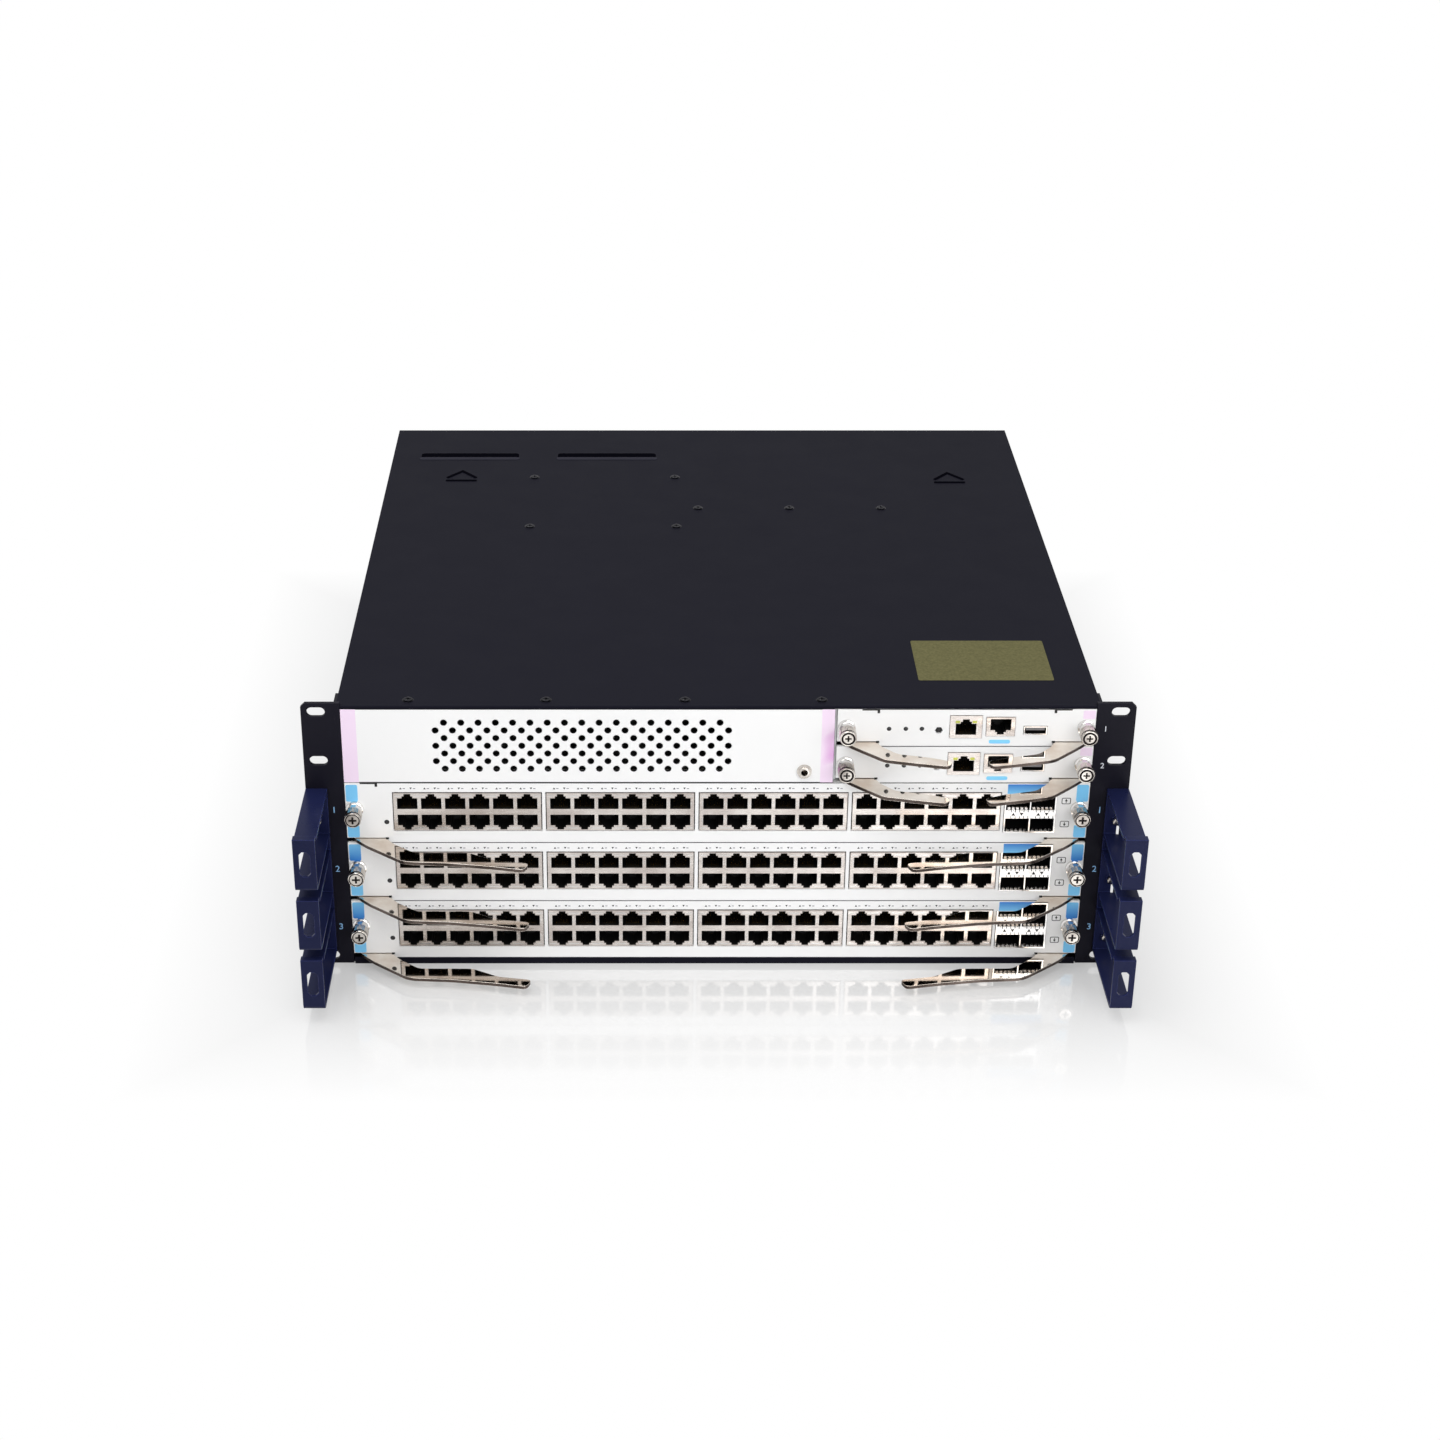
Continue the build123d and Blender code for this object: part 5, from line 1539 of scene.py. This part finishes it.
def build_supplies():
    """The power supplies: cases with an inlet, a lamp and a vent field."""
    for node in ("power_supply_1", "power_supply_2"):
        soften_node(node, 0.3 * MM, "bare_zinc")
        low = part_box(node)[0]
        bm = bmesh.new()
        x = low.x + INLET_AT[0]
        z = low.z + INLET_AT[1]
        outer = fillet(centred(x, z, *INLET_OUTER), 3 * MM)
        inner = fillet(centred(x, z, *INLET_INNER), 3 * MM)
        floor = REAR - INLET_DEPTH
        add_plate(bm, outer, (inner,), floor, REAR + INLET_PROUD)
        for pin_x, pin_z in INLET_PINS:
            add_plate(bm, centred(x + pin_x, z + pin_z, *PIN_HALF), (), floor, REAR - PIN_TIP,
                      1)
        lens = [(REAR + out, radius) for out, radius in SUPPLY_LAMP]
        add_lathe(bm, lens, x, low.z + SUPPLY_LAMP_RISE, 2, 20)
        for row in range(SUPPLY_VENT_ROWS):
            shifted = row % 2
            for column in range(SUPPLY_VENT_COLUMNS + shifted):
                x = low.x + SUPPLY_VENT_AT[0] + (column - shifted / 2) * SUPPLY_VENT_PITCH[0]
                z = low.z + SUPPLY_VENT_AT[1] + row * SUPPLY_VENT_PITCH[1]
                add_plate(bm, circle(x, z, 1.5 * MM, 12), (), REAR, REAR + 0.05 * MM)
        make_piece(f"{node}_fittings", bm, ["deep_black", "gold_contact", "led_amber"], node)


GUARD_RINGS = lengths(17.2, 24.4, 31.6, 38.8, 46.0, 53.2)
GUARD_RING_DEPTH = REAR + 0.9 * MM
GUARD_SPOKE = lengths(16, 54)
GUARD_SPOKE_DEPTH = REAR + 1.9 * MM
GUARD_WIRE = 0.7 * MM
ROTOR_BORE = 2.2 * MM
ROTOR_HUB = 19.0 * MM
ROTOR_TIP = 46.5 * MM


def build_fans():
    """The fan tray with wire guards, and rotors with curved blades."""
    soften_node("fan_tray", 0.25 * MM, "case_coat")
    z = centre_of("fan_tray")[1]
    for number in (1, 2, 3):
        node = f"fan_rotor_{number}"
        x = centre_of(node)[0]
        near, far = (corner.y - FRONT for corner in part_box(node))
        bm = bmesh.new()
        for radius in GUARD_RINGS:
            path = [(a, behind(GUARD_RING_DEPTH), b) for a, b in circle(x, z, radius, 48)]
            add_tube(bm, path, GUARD_WIRE, closed=True)
        for spoke in range(4):
            turn = math.radians(45 + 90 * spoke)
            add_tube(bm, [(x + reach * math.cos(turn), behind(GUARD_SPOKE_DEPTH),
                           z + reach * math.sin(turn)) for reach in GUARD_SPOKE], GUARD_WIRE)
        make_piece(f"fan_guard_{number}", bm, ["screw_nickel"], "fan_tray")
        bm = bmesh.new()
        hub = ROTOR_HUB
        add_lathe(bm, [(near, ROTOR_BORE), (near, hub * 0.9), (near + 2 * MM, hub),
                       (far - 0.5 * MM, hub), (far, hub * 0.96), (far, ROTOR_BORE)],
                  x, z, 0, 48)
        add_blades(bm, x, z, hub * 0.97, ROTOR_TIP, near + 2.5 * MM, far - 4 * MM)
        make_piece(f"fan_blades_{number}", bm, ["black_plastic"], node,
                   (node,))


BLADES = 7
BLADE_HALF = 0.8 * MM
BLADE_BOW = 1.6 * MM
BLADE_GRID = 6
BLADE_PITCH = 0.62
BLADE_TWIST = 0.2
BLADE_SWEEP = 0.22


def add_blades(bm, x, z, root, tip, near, far):
    """The swept fan blades between two radii."""
    rows = columns = BLADE_GRID
    for blade in range(BLADES):
        grid = []
        for row in range(rows + 1):
            radial = row / rows
            radius = root + (tip - root) * radial
            line = []
            for column in range(columns + 1):
                along = column / columns
                pitch = (BLADE_PITCH - BLADE_TWIST * radial) * (along - 0.5)
                turn = 2 * math.pi * blade / BLADES + pitch + BLADE_SWEEP * radial ** 2
                depth = near + (far - near) * along
                bow = BLADE_BOW * math.sin(math.pi * along)
                line.append((radius + bow, turn, depth))
            grid.append(line)
        sides = []
        for shift in (-BLADE_HALF, BLADE_HALF):
            sides.append([[bm.verts.new((x + r * math.cos(t + shift / r),
                                         behind(d),
                                         z + r * math.sin(t + shift / r)))
                           for r, t, d in line] for line in grid])
        faces = []
        for side in sides:
            for i in range(rows):
                for j in range(columns):
                    faces.append(bm.faces.new((side[i][j], side[i + 1][j],
                                               side[i + 1][j + 1], side[i][j + 1])))
        border = ([(i, 0) for i in range(rows)] + [(rows, j) for j in range(columns)]
                  + [(i, columns) for i in range(rows, 0, -1)]
                  + [(0, j) for j in range(columns, 0, -1)])
        for (i, j), (k, m) in zip(border, border[1:] + border[:1]):
            faces.append(bm.faces.new((sides[0][i][j], sides[0][k][m], sides[1][k][m],
                                       sides[1][i][j])))
        settle_faces(bm, faces, 0, True)


# Stage


def add_lamp(name, place, target, size, power):
    """A large soft area lamp that faces a point."""
    lamp = bpy.data.lights.new(name, "AREA")
    lamp.shape = "RECTANGLE"
    lamp.size, lamp.size_y = size
    lamp.energy = power
    shown = bpy.data.objects.new(name, lamp)
    shown.location = place
    shown.rotation_mode = "QUATERNION"
    shown.rotation_quaternion = (Vector(target) - Vector(place)).to_track_quat("-Z", "Y")
    bpy.context.scene.collection.objects.link(shown)


FLOOR_REACH = 12.0
KEY_AT = (-0.5, -0.5, 1.95)
KEY_SIZE = (1.8, 1.4)
FILL_AT = (0.9, -1.9, 0.9)
FILL_SIZE = (1.4, 1.2)
SENSOR_WIDTH = 36.0
ZENITH_FADE = (0.15, 0.85)
WHITE = (1.0, 1.0, 1.0, 1.0)


def build_floor():
    """The floor under the case."""
    bm = bmesh.new()
    bmesh.ops.create_grid(bm, x_segments=24, y_segments=24, size=FLOOR_REACH)
    mesh = bpy.data.meshes.new("floor")
    bm.to_mesh(mesh)
    bm.free()
    mesh.materials.append(finish("floor"))
    floor = bpy.data.objects.new("floor", mesh)
    bpy.context.scene.collection.objects.link(floor)


def build_surroundings():
    """White surroundings: soft light for the object, and plain white for the eye and gloss."""
    settings = bpy.context.scene.chassis_stage
    world = bpy.data.worlds.new("studio")
    world.use_nodes = True
    bpy.context.scene.world = world
    link = world.node_tree.links.new
    path = new_node(world, "ShaderNodeLightPath").outputs
    sky = world.node_tree.nodes["Background"]
    sky.inputs["Color"].default_value = WHITE
    sky.inputs["Strength"].default_value = settings.ambient
    white = new_node(world, "ShaderNodeBackground", color=WHITE)
    height = split_place(world, "Generated")["Z"]
    zenith = add_range(world, height, 1.0, settings.zenith, *ZENITH_FADE)
    link(add_math(world, "MAXIMUM", path["Is Camera Ray"], zenith), white.inputs["Strength"])
    mirrored = add_math(world, "MAXIMUM", path["Is Glossy Ray"], path["Is Transmission Ray"])
    seen = add_math(world, "MAXIMUM", mirrored, path["Is Camera Ray"])
    mix = mix_shaders(world, seen, sky, white)
    link(mix.outputs[0], world.node_tree.nodes["World Output"].inputs["Surface"])


def build_stage():
    """The floor, the white surroundings, the lamps and the camera."""
    settings = bpy.context.scene.chassis_stage
    build_floor()
    build_surroundings()
    middle = (cad_low + cad_high) / 2
    add_lamp("key", KEY_AT, middle, KEY_SIZE, settings.key)
    add_lamp("fill", FILL_AT, middle, FILL_SIZE, settings.fill)
    camera = bpy.data.cameras.new("camera")
    camera.sensor_width = SENSOR_WIDTH
    camera.lens = settings.lens
    camera.shift_x, camera.shift_y = settings.shift
    shown = bpy.data.objects.new("camera", camera)
    shown.location = settings.place
    shown.rotation_euler = (math.radians(90) - settings.tilt, 0.0, 0.0)
    bpy.context.scene.collection.objects.link(shown)
    bpy.context.scene.camera = shown
    bpy.context.scene.view_settings.view_transform = "Standard"


# Operators


class CHASSIS_OT_case(bpy.types.Operator):
    """Build the case and the marks and screws on its cover"""

    bl_idname = "chassis.case"
    bl_label = "Case"

    def execute(self, context):
        build_case()
        build_cover_screws()
        build_cover_marks()
        build_cover_beads()
        return {"FINISHED"}


class CHASSIS_OT_ears(bpy.types.Operator):
    """Build the rack ears and the cable brackets"""

    bl_idname = "chassis.ears"
    bl_label = "Ears and brackets"

    def execute(self, context):
        build_ears()
        build_brackets()
        return {"FINISHED"}


class CHASSIS_OT_vent_panel(bpy.types.Operator):
    """Build the vent panel and the wrist-strap socket"""

    bl_idname = "chassis.vent_panel"
    bl_label = "Vent panel"

    def execute(self, context):
        build_vent_panel()
        return {"FINISHED"}


class CHASSIS_OT_faceplates(bpy.types.Operator):
    """Build the faceplates of all modules and the marks on them"""

    bl_idname = "chassis.faceplates"
    bl_label = "Faceplates"

    def execute(self, context):
        for card in CARDS:
            build_card_faceplate(card)
            build_card_marks(card)
        for supervisor in SUPERVISORS:
            build_supervisor_faceplate(supervisor)
        for module in MODULES:
            build_edge_shade_lines(module)
        return {"FINISHED"}


class CHASSIS_OT_sockets(bpy.types.Operator):
    """Build the network, fibre and bus sockets"""

    bl_idname = "chassis.sockets"
    bl_label = "Sockets"

    def execute(self, context):
        for card in CARDS:
            build_port_blocks(card)
            build_fibre_cage(card)
        for supervisor in SUPERVISORS:
            build_supervisor_sockets(supervisor)
        return {"FINISHED"}


class CHASSIS_OT_levers(bpy.types.Operator):
    """Build the ejector levers"""

    bl_idname = "chassis.levers"
    bl_label = "Levers"

    def execute(self, context):
        for module in MODULES:
            for side, inward in SIDES:
                build_lever(module, side, inward)
        return {"FINISHED"}


class CHASSIS_OT_captive_screws(bpy.types.Operator):
    """Build the captive screws and their ferrules"""

    bl_idname = "chassis.captive_screws"
    bl_label = "Captive screws"

    def execute(self, context):
        for module in MODULES:
            for side, _ in SIDES:
                build_captive_screw(module, side)
        return {"FINISHED"}


class CHASSIS_OT_boards(bpy.types.Operator):
    """Finish the circuit boards behind the faceplates"""

    bl_idname = "chassis.boards"
    bl_label = "Circuit boards"

    def execute(self, context):
        for module in MODULES:
            dress_node(f"{module}_board", "board" if module in CARDS else "low_board")
        return {"FINISHED"}


class CHASSIS_OT_rear(bpy.types.Operator):
    """Build the power supplies, the fan tray and its rotors"""

    bl_idname = "chassis.rear"
    bl_label = "Supplies and fans"

    def execute(self, context):
        build_supplies()
        build_fans()
        return {"FINISHED"}


class CHASSIS_OT_stage(bpy.types.Operator):
    """Build the floor, the lamps and the camera"""

    bl_idname = "chassis.stage"
    bl_label = "Stage"

    def execute(self, context):
        build_stage()
        return {"FINISHED"}


OPERATORS = (CHASSIS_OT_case, CHASSIS_OT_ears, CHASSIS_OT_vent_panel, CHASSIS_OT_faceplates,
             CHASSIS_OT_sockets, CHASSIS_OT_levers, CHASSIS_OT_captive_screws,
             CHASSIS_OT_boards, CHASSIS_OT_rear, CHASSIS_OT_stage)
GROUPS = {"chassis_colours": ChassisColours, "chassis_sockets": SocketSizes,
          "chassis_screws": ScrewSizes, "chassis_stage": StageSettings}


class CHASSIS_PT_panel(bpy.types.Panel):
    """Lists the operators that build the chassis"""

    bl_idname = "CHASSIS_PT_panel"
    bl_label = "Modular chassis switch"
    bl_space_type = "VIEW_3D"
    bl_region_type = "UI"
    bl_category = "Chassis"

    def draw(self, context):
        for operator in OPERATORS:
            self.layout.operator(operator.bl_idname)
        for name, group in GROUPS.items():
            settings = getattr(context.scene, name)
            box = self.layout.box()
            for key in group.__annotations__:
                box.prop(settings, key)


def register():
    """Register the settings, the operators and the panel."""
    for name, group in GROUPS.items():
        bpy.utils.register_class(group)
        setattr(bpy.types.Scene, name, bpy.props.PointerProperty(type=group))
    for operator in OPERATORS:
        bpy.utils.register_class(operator)
    bpy.utils.register_class(CHASSIS_PT_panel)


def unregister():
    """Undo register, last class first."""
    bpy.utils.unregister_class(CHASSIS_PT_panel)
    for operator in reversed(OPERATORS):
        bpy.utils.unregister_class(operator)
    for name, group in reversed(GROUPS.items()):
        delattr(bpy.types.Scene, name)
        bpy.utils.unregister_class(group)


def main():
    """Register the settings, the operators and the panel, and build every piece in order."""
    register()
    for operator in OPERATORS:
        group, name = operator.bl_idname.split(".")
        getattr(getattr(bpy.ops, group), name)()


if __name__ == "__main__":
    main()
